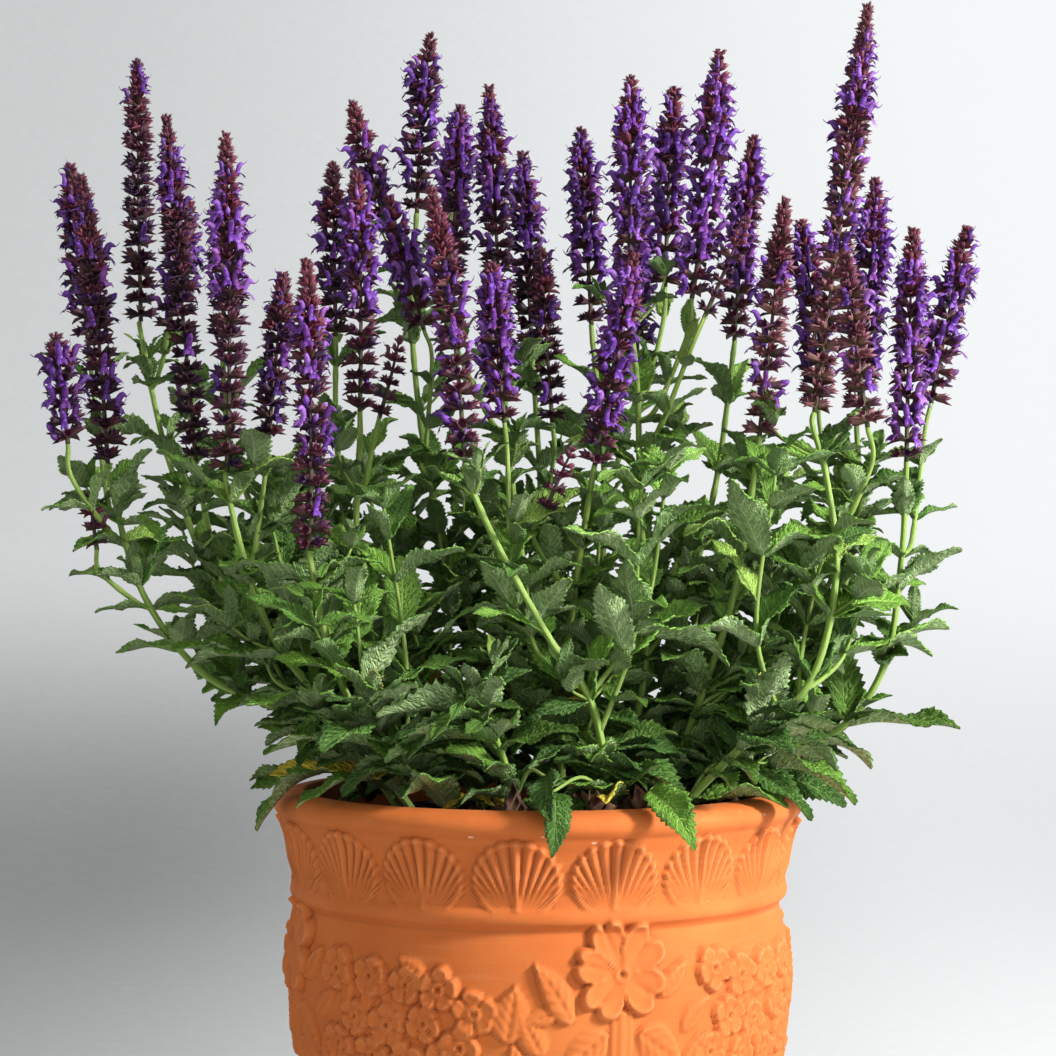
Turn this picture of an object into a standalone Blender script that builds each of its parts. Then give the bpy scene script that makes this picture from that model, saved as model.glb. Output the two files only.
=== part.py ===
"""A salvia in a turned terracotta pot: the pot, its soil, leafy stems and the flower spikes they carry.

Metres, +Z up. The origin is on the pot's axis, at the middle of its flat underside.
The plant's front is -Y.
"""

import math
import random

import bmesh
import bpy
from mathutils import Matrix, Vector
from mathutils.bvhtree import BVHTree

OBJECT_NAME = "potted_salvia"

# The pot, from its rim down. Depths are below the rim's top, radii are of the outside.
POT_HEIGHT = 0.268
RIM_RADIUS = 0.160
RIM_DEPTH = 0.020
RIM_WIDTH = 0.020
RIM_ROUND = 0.004
NECK_RADIUS = 0.1475
NECK_DEPTH = 0.047
MOULDING_RADIUS = 0.1495
MOULDING_DEPTH = 0.059
MOULDING_HALF_HEIGHT = 0.005
GROOVE_RADIUS = 0.1450
GROOVE_DEPTH = 0.067
BELLY_RADIUS = 0.1505
BELLY_DEPTH = 0.108
BELLY_FALL = 0.9
FOOT_RADIUS = 0.100
FOOT_HEIGHT = 0.010
FOOT_STEP = 0.004
WALL = 0.012
FLOOR = 0.012
POT_SIDES = 40
BELLY_STEPS = 6

# Three drain holes through the floor, off the middle.
DRAIN_COUNT = 3
DRAIN_RADIUS = 0.006
DRAIN_CIRCLE = 0.045
DRAIN_SIDES = 12

# The soil: level where the plant stands, falling a little towards the wall.
SOIL_DROP = 0.012
SOIL_EDGE_FALL = 0.008
CROWN_CLEARANCE = 0.028

# The gap that touching pieces keep, and the room that leaves keep to everything else.
GAP = 0.0003
LEAF_ROOM = 0.0012

# The plant, above the rim.
PLANT_HEIGHT = 0.476
PLANT_WIDTH = 0.543
PLANT_DEPTH = 0.240
STEM_RADIUS = 0.0027
SIDE_STEM_RADIUS = 0.0019
STEM_POINTS = 8
SIDE_STEM_POINTS = 5
STRAIGHT_END = 0.008
SIDE_STEM_SAG = 0.12
PATH_FINENESS = 12
SPIKE_RADIUS = 0.0130
SPIKE_FOOT_RADIUS = 0.0045
SPIKE_SIDES = 8
BUD_RADIUS = 0.0065

# The leaves: pairs up each stem, each pair turned a quarter from the last.
NODE_SPACING = 0.044
LOW_LEAF_LENGTH = 0.066
HIGH_LEAF_LENGTH = 0.034
LEAF_WIDTH_RATIO = 0.40
LEAF_THICKNESS = 0.0016
LEAF_STALK_WIDTH = 0.0022
LEAF_FOLD = 0.25
LEAF_FOOT_SINK = 0.62
LEAF_RISE = math.radians(38)
LEAF_DROOP = math.radians(72)
LEAF_SEED = 11

# Each shoot, in centimetres: across, back and up from the middle of the rim's plane. Its root is
# in shares of the crown's radius. "side" shoots leave the stem at a height and carry a spike each,
# and "buds" are the same with a small closed spike that has grown in one with its stem.
SHOOTS = (
    {"root": (-0.50, 0.42), "bends": ((-13.5, 7.0, 5.0), (-20.0, 8.0, 11.5), (-23.4, 8.2, 20.0)),
     "spike": ((-25.2, 8.5, 28.8), (-25.5, 9.0, 45.8)),
     "side": ((24.5, (-23.2, 6.2, 28.0), (-21.8, 5.8, 36.2)),)},
    {"root": (-0.44, 0.14), "bends": ((-12.0, 2.8, 4.0), (-18.6, 3.2, 10.5)),
     "spike": ((-21.1, 3.0, 19.8), (-22.9, 2.4, 41.3))},
    {"root": (-0.72, -0.22), "bends": ((-11.2, -2.8, 2.8), (-15.6, -3.6, 5.0), (-20.0, -4.2, 7.2),
                                      (-23.5, -4.4, 12.0)),
     "spike": ((-25.5, -4.4, 19.5), (-27.1, -4.6, 36.8)),
     "side": ((16.0, (-27.2, -0.9, 27.1), (-28.4, -0.4, 37.8)),
              (15.0, (-27.4, -7.4, 20.6), (-28.0, -8.0, 27.0))),
     "buds": ((11.0, (-26.0, -5.6, 14.6), (-26.4, -5.8, 17.6)),)},
    {"root": (-0.30, 0.58), "bends": ((-9.5, 8.0, 5.0), (-15.8, 10.0, 12.0), (-19.6, 11.0, 20.5)),
     "spike": ((-20.3, 11.2, 27.7), (-20.4, 11.6, 37.8))},
    {"root": (-0.62, -0.50), "bends": ((-10.5, -6.6, 3.4), (-15.0, -7.6, 8.6), (-17.0, -8.0, 13.6)),
     "spike": ((-18.1, -8.0, 18.9), (-18.2, -7.8, 38.9)),
     "side": ((13.4, (-16.0, -4.2, 21.0), (-15.1, -3.6, 30.9)),)},
    {"root": (-0.28, 0.28), "bends": ((-7.6, 4.4, 5.0), (-11.6, 5.6, 14.0), (-12.6, 6.0, 21.0)),
     "spike": ((-12.7, 6.2, 27.7), (-12.9, 6.4, 38.8))},
    {"root": (-0.38, -0.80), "bends": ((-7.4, -10.6, 2.6), (-10.2, -12.0, 5.0), (-12.0, -12.6, 9.4)),
     "spike": ((-12.9, -12.6, 14.4), (-13.2, -12.2, 31.2))},
    {"root": (-0.12, 0.66), "bends": ((-3.8, 9.8, 8.0), (-6.8, 11.2, 18.0), (-8.1, 11.6, 28.0)),
     "spike": ((-7.8, 11.6, 36.0), (-6.9, 11.6, 47.6)),
     "side": ((29.0, (-9.6, 10.4, 34.6), (-11.9, 9.8, 42.9)),
              (20.0, (-7.2, 7.2, 28.2), (-9.4, 6.8, 36.6)))},
    {"root": (-0.30, -0.12), "bends": ((-6.8, -1.6, 5.5), (-10.6, -2.4, 13.0)),
     "spike": ((-10.7, -2.4, 22.6), (-11.0, -2.0, 37.4)),
     "buds": ((17.5, (-9.4, -4.2, 22.4), (-8.2, -4.6, 27.0)),)},
    {"root": (0.02, 0.34), "bends": ((-0.6, 5.0, 10.0), (-1.8, 5.6, 20.0)),
     "spike": ((-2.3, 5.8, 28.0), (-3.1, 6.0, 43.5)),
     "side": ((21.5, (-5.4, 2.8, 30.0), (-4.8, 2.4, 41.8)),)},
    {"root": (0.10, 0.80), "bends": ((0.6, 11.4, 8.0), (0.2, 12.8, 18.0)),
     "spike": ((-0.4, 13.0, 27.6), (-1.0, 13.0, 40.3)),
     "side": ((16.5, (0.9, 8.6, 22.4), (0.2, 8.8, 33.6)),)},
    {"root": (0.40, -0.84), "bends": ((3.0, -11.0, 5.6), (0.6, -12.4, 9.4), (-2.4, -12.4, 14.8)),
     "spike": ((-4.2, -12.0, 19.4), (-6.2, -11.4, 35.3)),
     "side": ((13.0, (-2.0, -8.4, 21.8), (-2.8, -8.0, 31.2)),)},
    {"root": (0.30, 0.52), "bends": ((3.8, 8.0, 8.0), (4.2, 8.8, 19.0)),
     "spike": ((3.4, 8.8, 28.6), (2.7, 8.6, 41.3)),
     "side": ((18.5, (6.4, 12.0, 26.4), (6.6, 12.6, 38.0)),)},
    {"root": (0.42, -0.30), "bends": ((6.3, -4.4, 8.0), (6.0, -4.8, 17.0), (5.8, -5.0, 24.0)),
     "spike": ((5.4, -5.0, 28.6), (5.4, -4.8, 42.6)),
     "side": ((23.0, (7.6, -1.6, 30.2), (8.2, -1.2, 42.4)),
              (22.0, (9.0, -5.4, 29.2), (10.6, -5.6, 44.0))),
     "buds": ((20.5, (9.6, -9.0, 28.0), (12.0, -9.4, 33.6)),)},
    {"root": (0.12, -0.42), "bends": ((1.4, -6.0, 6.0), (2.2, -8.0, 13.0)),
     "spike": ((3.2, -9.2, 19.3), (5.5, -10.0, 31.5)),
     "buds": ((11.5, (0.4, -10.4, 16.8), (1.9, -10.8, 20.2)),)},
    {"root": (0.56, 0.50), "bends": ((8.6, 8.0, 8.0), (11.2, 9.0, 18.0)),
     "spike": ((12.5, 9.2, 27.6), (13.8, 9.4, 40.8))},
    {"root": (0.62, -0.40), "bends": ((9.4, -5.6, 5.4), (11.4, -7.0, 12.0)),
     "spike": ((12.8, -7.6, 21.0), (14.3, -7.8, 35.0))},
    {"root": (0.64, -0.74), "bends": ((11.0, -10.0, 2.6), (15.4, -10.6, 6.8), (17.0, -10.2, 13.0),
                                      (16.6, -9.0, 18.4)),
     "spike": ((16.0, -7.6, 22.4), (19.8, -2.0, 47.4)),
     "side": ((15.4, (18.6, -12.0, 21.4), (17.2, -12.8, 31.4)),)},
    {"root": (0.62, 0.06), "bends": ((12.6, 0.4, 4.6), (17.4, 0.6, 9.4), (19.4, 0.6, 16.0)),
     "spike": ((19.4, 0.6, 22.8), (20.5, 0.8, 37.2)),
     "side": ((14.0, (17.4, 4.6, 23.4), (16.4, 5.4, 35.0)),)},
    {"root": (0.78, -0.20), "bends": ((12.6, -2.8, 2.2), (17.4, -3.6, 3.4), (20.4, -4.2, 7.4),
                                      (21.4, -4.6, 13.6)),
     "spike": ((21.7, -4.8, 19.6), (22.1, -5.0, 33.5)),
     "side": ((14.0, (23.6, -1.4, 23.2), (25.9, -0.8, 34.0)),)},
)

# Short shoots with leaves and no flowers, which fill the mound over the rim.
LEAFY_SHOOTS = (
    {"root": (-0.10, -0.92), "bends": ((-2.0, -12.6, 2.6), (-3.4, -14.6, 6.0))},
    {"root": (0.86, 0.34), "bends": ((12.4, 6.6, 3.2), (15.6, 8.6, 8.6))},
    {"root": (-0.76, 0.42), "bends": ((-11.4, 7.8, 3.4), (-14.6, 10.6, 9.0))},
)

CM = 0.01


def clear_scene():
    for obj in list(bpy.data.objects):
        bpy.data.objects.remove(obj, do_unlink=True)
    for collection in list(bpy.data.collections):
        bpy.data.collections.remove(collection)


def new_collection(name):
    collection = bpy.data.collections.new(name)
    bpy.context.scene.collection.children.link(collection)
    return collection


def principled(name, colour, roughness):
    material = bpy.data.materials.new(name)
    material.use_nodes = True
    shader = material.node_tree.nodes["Principled BSDF"]
    shader.inputs["Base Color"].default_value = (*colour, 1.0)
    shader.inputs["Roughness"].default_value = roughness
    shader.inputs["Metallic"].default_value = 0.0
    material.diffuse_color = (*colour, 1.0)
    return material


def add_object(name, data, collection, material=None):
    obj = bpy.data.objects.new(name, data)
    collection.objects.link(obj)
    if material is not None:
        obj.data.materials.append(material)
    return obj


def as_cutter(obj):
    obj.hide_render = True
    obj.display_type = "WIRE"
    return obj


def boolean(obj, other, operation):
    modifier = obj.modifiers.new(f"{operation.lower()} {other.name}", "BOOLEAN")
    modifier.operation = operation
    modifier.object = other
    modifier.solver = "EXACT"


# ---- turned shapes ----


def turned(name, profile, sides, collection, material):
    """A solid of revolution about Z from (radius, height) points that run down its outer side."""
    mesh = bpy.data.meshes.new(name)
    mesh.from_pydata(
        [(radius, 0.0, height) for radius, height in profile],
        [(i, i + 1) for i in range(len(profile) - 1)],
        [],
    )
    obj = add_object(name, mesh, collection, material)
    screw = obj.modifiers.new("turn", "SCREW")
    screw.axis = "Z"
    screw.angle = 2 * math.pi
    screw.steps = sides
    screw.render_steps = sides
    screw.use_merge_vertices = True
    screw.merge_threshold = 0.0001
    screw.use_smooth_shade = True
    return obj


def belly_radius(depth):
    """The outside radius from the widest part of the belly down to the foot."""
    foot_depth = POT_HEIGHT - FOOT_HEIGHT
    share = (depth - BELLY_DEPTH) / (foot_depth - BELLY_DEPTH)
    return FOOT_RADIUS + (BELLY_RADIUS - FOOT_RADIUS) * math.cos(
        math.pi / 2 * share**BELLY_FALL
    )


def belly_depths():
    foot_depth = POT_HEIGHT - FOOT_HEIGHT
    step = (foot_depth - BELLY_DEPTH) / BELLY_STEPS
    return [BELLY_DEPTH + step * i for i in range(BELLY_STEPS + 1)]


def inner_wall():
    """(radius, depth) down the inside, from the rim's inner edge to the floor."""
    floor_depth = POT_HEIGHT - FLOOR
    points = [
        (RIM_RADIUS - RIM_WIDTH, RIM_ROUND / 2),
        (NECK_RADIUS - WALL, NECK_DEPTH),
        (GROOVE_RADIUS - WALL, GROOVE_DEPTH),
        (BELLY_RADIUS - WALL, BELLY_DEPTH),
    ]
    for depth in belly_depths()[2:-1:2]:
        points.append((belly_radius(depth) - WALL, depth))
    points.append((FOOT_RADIUS - WALL, floor_depth))
    return points


def outer_wall():
    """(radius, depth) down the outside, from the rim's top to the underside."""
    points = [
        (RIM_RADIUS - RIM_WIDTH + RIM_ROUND, 0.0),
        (RIM_RADIUS - RIM_ROUND, 0.0),
        (RIM_RADIUS, RIM_ROUND),
        (RIM_RADIUS, RIM_DEPTH - RIM_ROUND),
        (RIM_RADIUS - RIM_ROUND, RIM_DEPTH),
        (NECK_RADIUS, NECK_DEPTH),
        (NECK_RADIUS, MOULDING_DEPTH - MOULDING_HALF_HEIGHT),
        (MOULDING_RADIUS, MOULDING_DEPTH),
        (NECK_RADIUS, MOULDING_DEPTH + MOULDING_HALF_HEIGHT),
        (GROOVE_RADIUS, GROOVE_DEPTH),
        ((GROOVE_RADIUS + 2 * BELLY_RADIUS) / 3, (GROOVE_DEPTH + BELLY_DEPTH) / 2),
    ]
    points += [(belly_radius(depth), depth) for depth in belly_depths()]
    points.append((FOOT_RADIUS + FOOT_STEP, POT_HEIGHT - FOOT_HEIGHT))
    points.append((FOOT_RADIUS + FOOT_STEP, POT_HEIGHT))
    return points


def build_pot(collection, cutters):
    clay = principled("terracotta", (0.76, 0.33, 0.13), 0.82)
    profile = [(0.0, FLOOR)]
    profile += [(radius, POT_HEIGHT - depth) for radius, depth in reversed(inner_wall())]
    profile += [(radius, POT_HEIGHT - depth) for radius, depth in outer_wall()]
    profile.append((0.0, 0.0))
    pot = turned("terracotta_pot", profile, POT_SIDES, collection, clay)
    for i in range(DRAIN_COUNT):
        angle = 2 * math.pi * (i + 0.25) / DRAIN_COUNT
        mesh = bpy.data.meshes.new(f"drain_cutter_{i + 1}")
        cylinder = bmesh.new()
        bmesh.ops.create_cone(
            cylinder,
            cap_ends=True,
            segments=DRAIN_SIDES,
            radius1=DRAIN_RADIUS,
            radius2=DRAIN_RADIUS,
            depth=3 * FLOOR,
        )
        cylinder.to_mesh(mesh)
        cylinder.free()
        cutter = as_cutter(add_object(mesh.name, mesh, cutters))
        cutter.location = (DRAIN_CIRCLE * math.cos(angle), DRAIN_CIRCLE * math.sin(angle), 0.0)
        boolean(pot, cutter, "DIFFERENCE")
    return pot


def soil_top():
    return POT_HEIGHT - SOIL_DROP


def crown_radius():
    """The level part of the soil that stems stand on."""
    return RIM_RADIUS - RIM_WIDTH - CROWN_CLEARANCE


def build_soil(collection):
    peat = principled("potting_soil", (0.045, 0.028, 0.018), 0.95)
    edge_depth = SOIL_DROP + SOIL_EDGE_FALL
    wall = inner_wall()
    (top_radius, top_depth), (next_radius, next_depth) = wall[0], wall[1]
    share = (edge_depth - top_depth) / (next_depth - top_depth)
    edge_radius = top_radius + (next_radius - top_radius) * share
    profile = [(0.0, soil_top()), (crown_radius(), soil_top())]
    profile.append((edge_radius - GAP, POT_HEIGHT - edge_depth))
    profile += [(radius - GAP, POT_HEIGHT - depth) for radius, depth in wall[1:-1]]
    profile.append((wall[-1][0] - GAP, FLOOR + GAP))
    profile.append((0.0, FLOOR + GAP))
    return turned("potting_soil", profile, POT_SIDES, collection, peat)


# ---- stems ----


def table_extents():
    """The widest, deepest and highest spike tips in the table, in centimetres."""
    tips = [tip for shoot in SHOOTS for tip in spike_tips(shoot)]
    across = [tip[0] for tip in tips]
    back = [tip[1] for tip in tips]
    return max(across) - min(across), max(back) - min(back), max(tip[2] for tip in tips)


def spike_tips(shoot):
    tips = [shoot["spike"][1]]
    tips += [tip for _, _, tip in shoot.get("side", ())]
    return tips


def place(point, scale):
    """A table point as a place above the pot, stretched to the plant's own width, depth and height."""
    return Vector(
        (point[0] * scale[0], point[1] * scale[1], POT_HEIGHT + point[2] * scale[2])
    )


def root_place(root):
    return Vector((root[0] * crown_radius(), root[1] * crown_radius(), soil_top() + GAP))


def smooth_path(points, count):
    """Catmull-Rom through the points, read at evenly spaced lengths."""
    padded = [2 * points[0] - points[1], *points, 2 * points[-1] - points[-2]]
    fine = []
    for i in range(1, len(padded) - 2):
        before, start, end, after = padded[i - 1 : i + 3]
        for step in range(PATH_FINENESS):
            t = step / PATH_FINENESS
            fine.append(
                0.5
                * (
                    2 * start
                    + (end - before) * t
                    + (2 * before - 5 * start + 4 * end - after) * t**2
                    + (3 * start - before - 3 * end + after) * t**3
                )
            )
    fine.append(points[-1].copy())
    return resample(fine, count)


def lengths_along(path):
    lengths = [0.0]
    for a, b in zip(path, path[1:]):
        lengths.append(lengths[-1] + (b - a).length)
    return lengths


def at_length(path, lengths, wanted):
    for i in range(len(path) - 1):
        if wanted <= lengths[i + 1] or i == len(path) - 2:
            share = (wanted - lengths[i]) / (lengths[i + 1] - lengths[i])
            return path[i].lerp(path[i + 1], share)
    return path[-1].copy()


def resample(path, count):
    lengths = lengths_along(path)
    return [at_length(path, lengths, lengths[-1] * i / (count - 1)) for i in range(count)]


def stem_path(start, bends, end, end_direction, count, upright):
    """A stem from its start to its end. It leaves the soil upright and meets its spike in line."""
    points = [start]
    if upright:
        points.append(start + Vector((0.0, 0.0, STRAIGHT_END)))
    points += bends
    points.append(end - end_direction * STRAIGHT_END)
    path = smooth_path(points, count)
    if upright:
        path.insert(1, points[1])
        path = [path[0], path[1], *[p for p in path[2:] if p.z > points[1].z + STRAIGHT_END]]
    return [*path, end]


def height_on(path, height):
    """The place on a rising path at a height."""
    for a, b in zip(path, path[1:]):
        if a.z <= height <= b.z:
            return a.lerp(b, (height - a.z) / (b.z - a.z))
    return path[-1].copy()


def tube(name, path, radius, collection):
    """A square stem along a path, as a closed mesh."""
    curve = bpy.data.curves.new(name, "CURVE")
    curve.dimensions = "3D"
    curve.bevel_depth = radius
    curve.bevel_resolution = 0
    curve.use_fill_caps = True
    spline = curve.splines.new("POLY")
    spline.points.add(len(path) - 1)
    for point, place_on_path in zip(spline.points, path):
        point.co = (*place_on_path, 1.0)
    guide = bpy.data.objects.new(f"{name}_path", curve)
    bpy.context.scene.collection.objects.link(guide)
    bpy.context.view_layer.update()
    graph = bpy.context.evaluated_depsgraph_get()
    mesh = bpy.data.meshes.new_from_object(guide.evaluated_get(graph))
    mesh.name = name
    welded = bmesh.new()
    welded.from_mesh(mesh)
    bmesh.ops.remove_doubles(welded, verts=welded.verts, dist=0.00001)
    bmesh.ops.recalc_face_normals(welded, faces=welded.faces)
    welded.to_mesh(mesh)
    welded.free()
    obj = add_object(name, mesh, collection)
    obj.matrix_world = guide.matrix_world.copy()
    bpy.data.objects.remove(guide)
    bpy.data.curves.remove(curve)
    return obj


def turn_to(direction):
    return Vector((0.0, 0.0, 1.0)).rotation_difference(direction).to_matrix().to_4x4()


def spindle_profile(length, radius):
    """A flower spike's outline, from its pointed tip down to its flat foot."""
    return [
        (0.0, length),
        (0.30 * radius, 0.95 * length),
        (0.78 * radius, 0.76 * length),
        (radius, 0.40 * length),
        (0.88 * radius, 0.07 * length),
        (min(SPIKE_FOOT_RADIUS, 0.8 * radius), 0.0),
        (0.0, 0.0),
    ]


def spindle(name, base, tip, radius, collection, material):
    axis = tip - base
    obj = turned(name, spindle_profile(axis.length, radius), SPIKE_SIDES, collection, material)
    obj.matrix_world = Matrix.Translation(base) @ turn_to(axis.normalized())
    return obj


# ---- leaves ----


def leaf_mesh(foot, outward, length, rise, droop):
    """A closed lens-shaped leaf as (points, faces): a narrow foot, two full sections and a tip.

    It leaves along outward, lifted by rise, and bends down by droop on its way to the tip."""
    across = outward.cross(Vector((0.0, 0.0, 1.0))).normalized()
    half_width = length * LEAF_WIDTH_RATIO / 2
    sections = (
        (0.0, LEAF_STALK_WIDTH / 2, LEAF_THICKNESS / 2),
        (0.42, half_width, LEAF_THICKNESS / 2),
        (0.76, 0.68 * half_width, LEAF_THICKNESS / 2),
    )
    points = []
    centre = foot.copy()
    last = 0.0
    for share, side, half_thick in (*sections, (1.0, 0.0, 0.0)):
        angle = rise - droop * (share + last) / 2
        along = outward * math.cos(angle) + Vector((0.0, 0.0, math.sin(angle)))
        centre = centre + along * length * (share - last)
        last = share
        lift = across.cross(along)
        if side == 0.0:
            points.append(centre.copy())
            continue
        fold = LEAF_FOLD * side
        points.append(centre + across * side + lift * fold)
        points.append(centre + lift * half_thick)
        points.append(centre - across * side + lift * fold)
        points.append(centre - lift * half_thick)
    faces = [(0, 1, 2, 3)]
    for ring in (0, 4):
        for i in range(4):
            j = (i + 1) % 4
            faces.append((ring + i, ring + 4 + i, ring + 4 + j, ring + j))
    for i in range(4):
        faces.append((8 + i, 12, 8 + (i + 1) % 4))
    return points, faces


def tree_of(points, faces):
    return BVHTree.FromPolygons([tuple(p) for p in points], faces, epsilon=0.0)


def object_tree(obj):
    """A search tree over an object's evaluated faces, in the part's own frame."""
    graph = bpy.context.evaluated_depsgraph_get()
    evaluated = obj.evaluated_get(graph)
    mesh = evaluated.to_mesh()
    points = [evaluated.matrix_world @ vertex.co for vertex in mesh.vertices]
    faces = [tuple(polygon.vertices) for polygon in mesh.polygons]
    tree = tree_of(points, faces)
    evaluated.to_mesh_clear()
    return tree


def has_room(points, faces, trees):
    """Whether a leaf stays clear of everything in the trees."""
    own = tree_of(points, faces)
    for tree in trees:
        if own.overlap(tree):
            return False
    probes = list(points)
    probes += [sum((points[i] for i in face), Vector()) / len(face) for face in faces]
    return all(tree.find_nearest(p, LEAF_ROOM)[0] is None for tree in trees for p in probes)


def leaf_pairs(path, first, last, spacing):
    """(place, share of the way up) of each pair of leaves along a path."""
    lengths = lengths_along(path)
    reach = lengths[-1] - first - last
    count = max(1, round(reach / spacing))
    return [
        (at_length(path, lengths, first + reach * i / count), i / count)
        for i in range(count + 1)
    ]


def grow_leaves(path, radius, low_length, high_length, trees, dice, spacing, first):
    """The leaves of one stem, as (points, faces) each. A leaf with no room isn't grown."""
    grown = []
    turn = dice.uniform(0.0, math.pi)
    for i, (node, share) in enumerate(leaf_pairs(path, first, STRAIGHT_END, spacing)):
        for half in (0, 1):
            azimuth = turn + i * math.pi / 2 + half * math.pi + dice.uniform(-0.3, 0.3)
            outward = Vector((math.cos(azimuth), math.sin(azimuth), 0.0))
            length = low_length + (high_length - low_length) * share
            length *= dice.uniform(0.85, 1.15)
            rise = LEAF_RISE + dice.uniform(-0.2, 0.2)
            droop = LEAF_DROOP * dice.uniform(0.7, 1.25)
            foot = node + outward * radius * (1.0 - LEAF_FOOT_SINK)
            points, faces = leaf_mesh(foot, outward, length, rise, droop)
            if not has_room(points, faces, trees):
                continue
            trees.append(tree_of(points, faces))
            grown.append((points, faces))
    return grown


def join_leaves(name, leaves, collection):
    points = [p for leaf_points, _ in leaves for p in leaf_points]
    faces = []
    base = 0
    for leaf_points, leaf_faces in leaves:
        faces += [tuple(base + i for i in face) for face in leaf_faces]
        base += len(leaf_points)
    mesh = bpy.data.meshes.new(name)
    mesh.from_pydata([tuple(p) for p in points], [], faces)
    solid = bmesh.new()
    solid.from_mesh(mesh)
    bmesh.ops.recalc_face_normals(solid, faces=solid.faces)
    solid.to_mesh(mesh)
    solid.free()
    return add_object(name, mesh, collection)


# ---- the plant ----


def lay_out_shoot(number, shoot, scale):
    """Every path and spike of one flowering shoot, before anything is built."""
    base, tip = (place(point, scale) for point in shoot["spike"])
    bends = [place(point, scale) for point in shoot["bends"]]
    direction = (tip - base).normalized()
    main = stem_path(root_place(shoot["root"]), bends, base, direction, STEM_POINTS, True)
    plan = {"name": f"leafy_stem_{number:02d}", "main": main, "sides": [], "spikes": [], "buds": []}
    plan["spikes"].append((f"flower_spike_{number:02d}", base, tip))
    for i, (height, side_base, side_tip) in enumerate(shoot.get("side", ())):
        side_base, side_tip = place(side_base, scale), place(side_tip, scale)
        plan["sides"].append(side_path(main, height, side_base, side_tip, scale))
        plan["spikes"].append((f"flower_spike_{number:02d}_side_{i + 1}", side_base, side_tip))
    for height, bud_base, bud_tip in shoot.get("buds", ()):
        bud_base, bud_tip = place(bud_base, scale), place(bud_tip, scale)
        plan["sides"].append(side_path(main, height, bud_base, bud_tip, scale))
        plan["buds"].append((bud_base, bud_tip))
    return plan


def side_path(main, height, base, tip, scale):
    """A side stem: out of the main stem, bowing up under its own spike."""
    start = height_on(main, POT_HEIGHT + height * scale[2])
    direction = (tip - base).normalized()
    sag = SIDE_STEM_SAG * (base - start).length
    elbow = start.lerp(base, 0.5) - Vector((0.0, 0.0, sag))
    return stem_path(start, [elbow], base, direction, SIDE_STEM_POINTS, False)


def build_plant(collection, cutters, solids):
    green = principled("stem_and_leaf", (0.16, 0.30, 0.07), 0.6)
    violet = principled("flower_spike", (0.17, 0.05, 0.33), 0.7)
    width, depth, height = table_extents()
    scale = (PLANT_WIDTH / width, PLANT_DEPTH / depth, PLANT_HEIGHT / height)
    plans = [lay_out_shoot(i + 1, shoot, scale) for i, shoot in enumerate(SHOOTS)]
    for i, shoot in enumerate(LEAFY_SHOOTS):
        bends = [place(point, scale) for point in shoot["bends"]]
        direction = (bends[-1] - bends[-2]).normalized()
        start = root_place(shoot["root"])
        main = stem_path(start, bends[:-1], bends[-1], direction, STEM_POINTS - 3, True)
        plans.append({"name": f"leafy_shoot_{i + 1:02d}", "main": main, "sides": [], "spikes": [],
                      "buds": []})
    for plan in plans:
        plan["stem"] = tube(plan["name"], plan["main"], STEM_RADIUS, collection)
        plan["stem"].data.materials.append(green)
        plan["side_tubes"] = [
            as_cutter(tube(f"{plan['name']}_side_{i + 1}", path, SIDE_STEM_RADIUS, cutters))
            for i, path in enumerate(plan["sides"])
        ]
        for i, (base, tip) in enumerate(plan["buds"]):
            sunk = base - (tip - base).normalized() * SIDE_STEM_RADIUS
            bud = spindle(f"{plan['name']}_bud_{i + 1}", sunk, tip, BUD_RADIUS, cutters, green)
            plan["side_tubes"].append(as_cutter(bud))
        for name, base, tip in plan["spikes"]:
            axis = (tip - base).normalized()
            solids.append(spindle(name, base + axis * GAP, tip, SPIKE_RADIUS, collection, violet))
    bpy.context.view_layer.update()
    common = [object_tree(obj) for obj in solids]
    stems = {plan["name"]: [object_tree(obj) for obj in (plan["stem"], *plan["side_tubes"])]
             for plan in plans}
    dice = random.Random(LEAF_SEED)
    grown_trees = []
    for plan in plans:
        others = [tree for name, trees in stems.items() if name != plan["name"] for tree in trees]
        trees = common + others + grown_trees
        before = len(trees)
        leafy = not plan["spikes"]
        spacing = NODE_SPACING * (0.5 if leafy else 1.0)
        high = LOW_LEAF_LENGTH * 0.8 if leafy else HIGH_LEAF_LENGTH
        leaves = grow_leaves(plan["main"], STEM_RADIUS, LOW_LEAF_LENGTH, high, trees, dice,
                             spacing, NODE_SPACING * 0.5)
        for path in plan["sides"]:
            leaves += grow_leaves(path, SIDE_STEM_RADIUS, HIGH_LEAF_LENGTH, HIGH_LEAF_LENGTH * 0.7,
                                  trees, dice, NODE_SPACING, NODE_SPACING * 0.7)
        grown_trees += trees[before:]
        for other in plan["side_tubes"]:
            boolean(plan["stem"], other, "UNION")
        if leaves:
            foliage = as_cutter(join_leaves(f"{plan['name']}_leaves", leaves, cutters))
            boolean(plan["stem"], foliage, "UNION")
    return plans


def main():
    clear_scene()
    collection = new_collection(OBJECT_NAME)
    cutters = new_collection(f"{OBJECT_NAME}_cutters")
    pot = build_pot(collection, cutters)
    soil = build_soil(collection)
    bpy.context.view_layer.update()
    build_plant(collection, cutters, [pot, soil])


main()
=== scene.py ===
"""The looks of the potted salvia: its moulded pot, soil, stems, leaves and flower spikes."""

import math
import random

import bpy
import numpy as np
from mathutils import Matrix, Vector
from mathutils import noise as perlin


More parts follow.
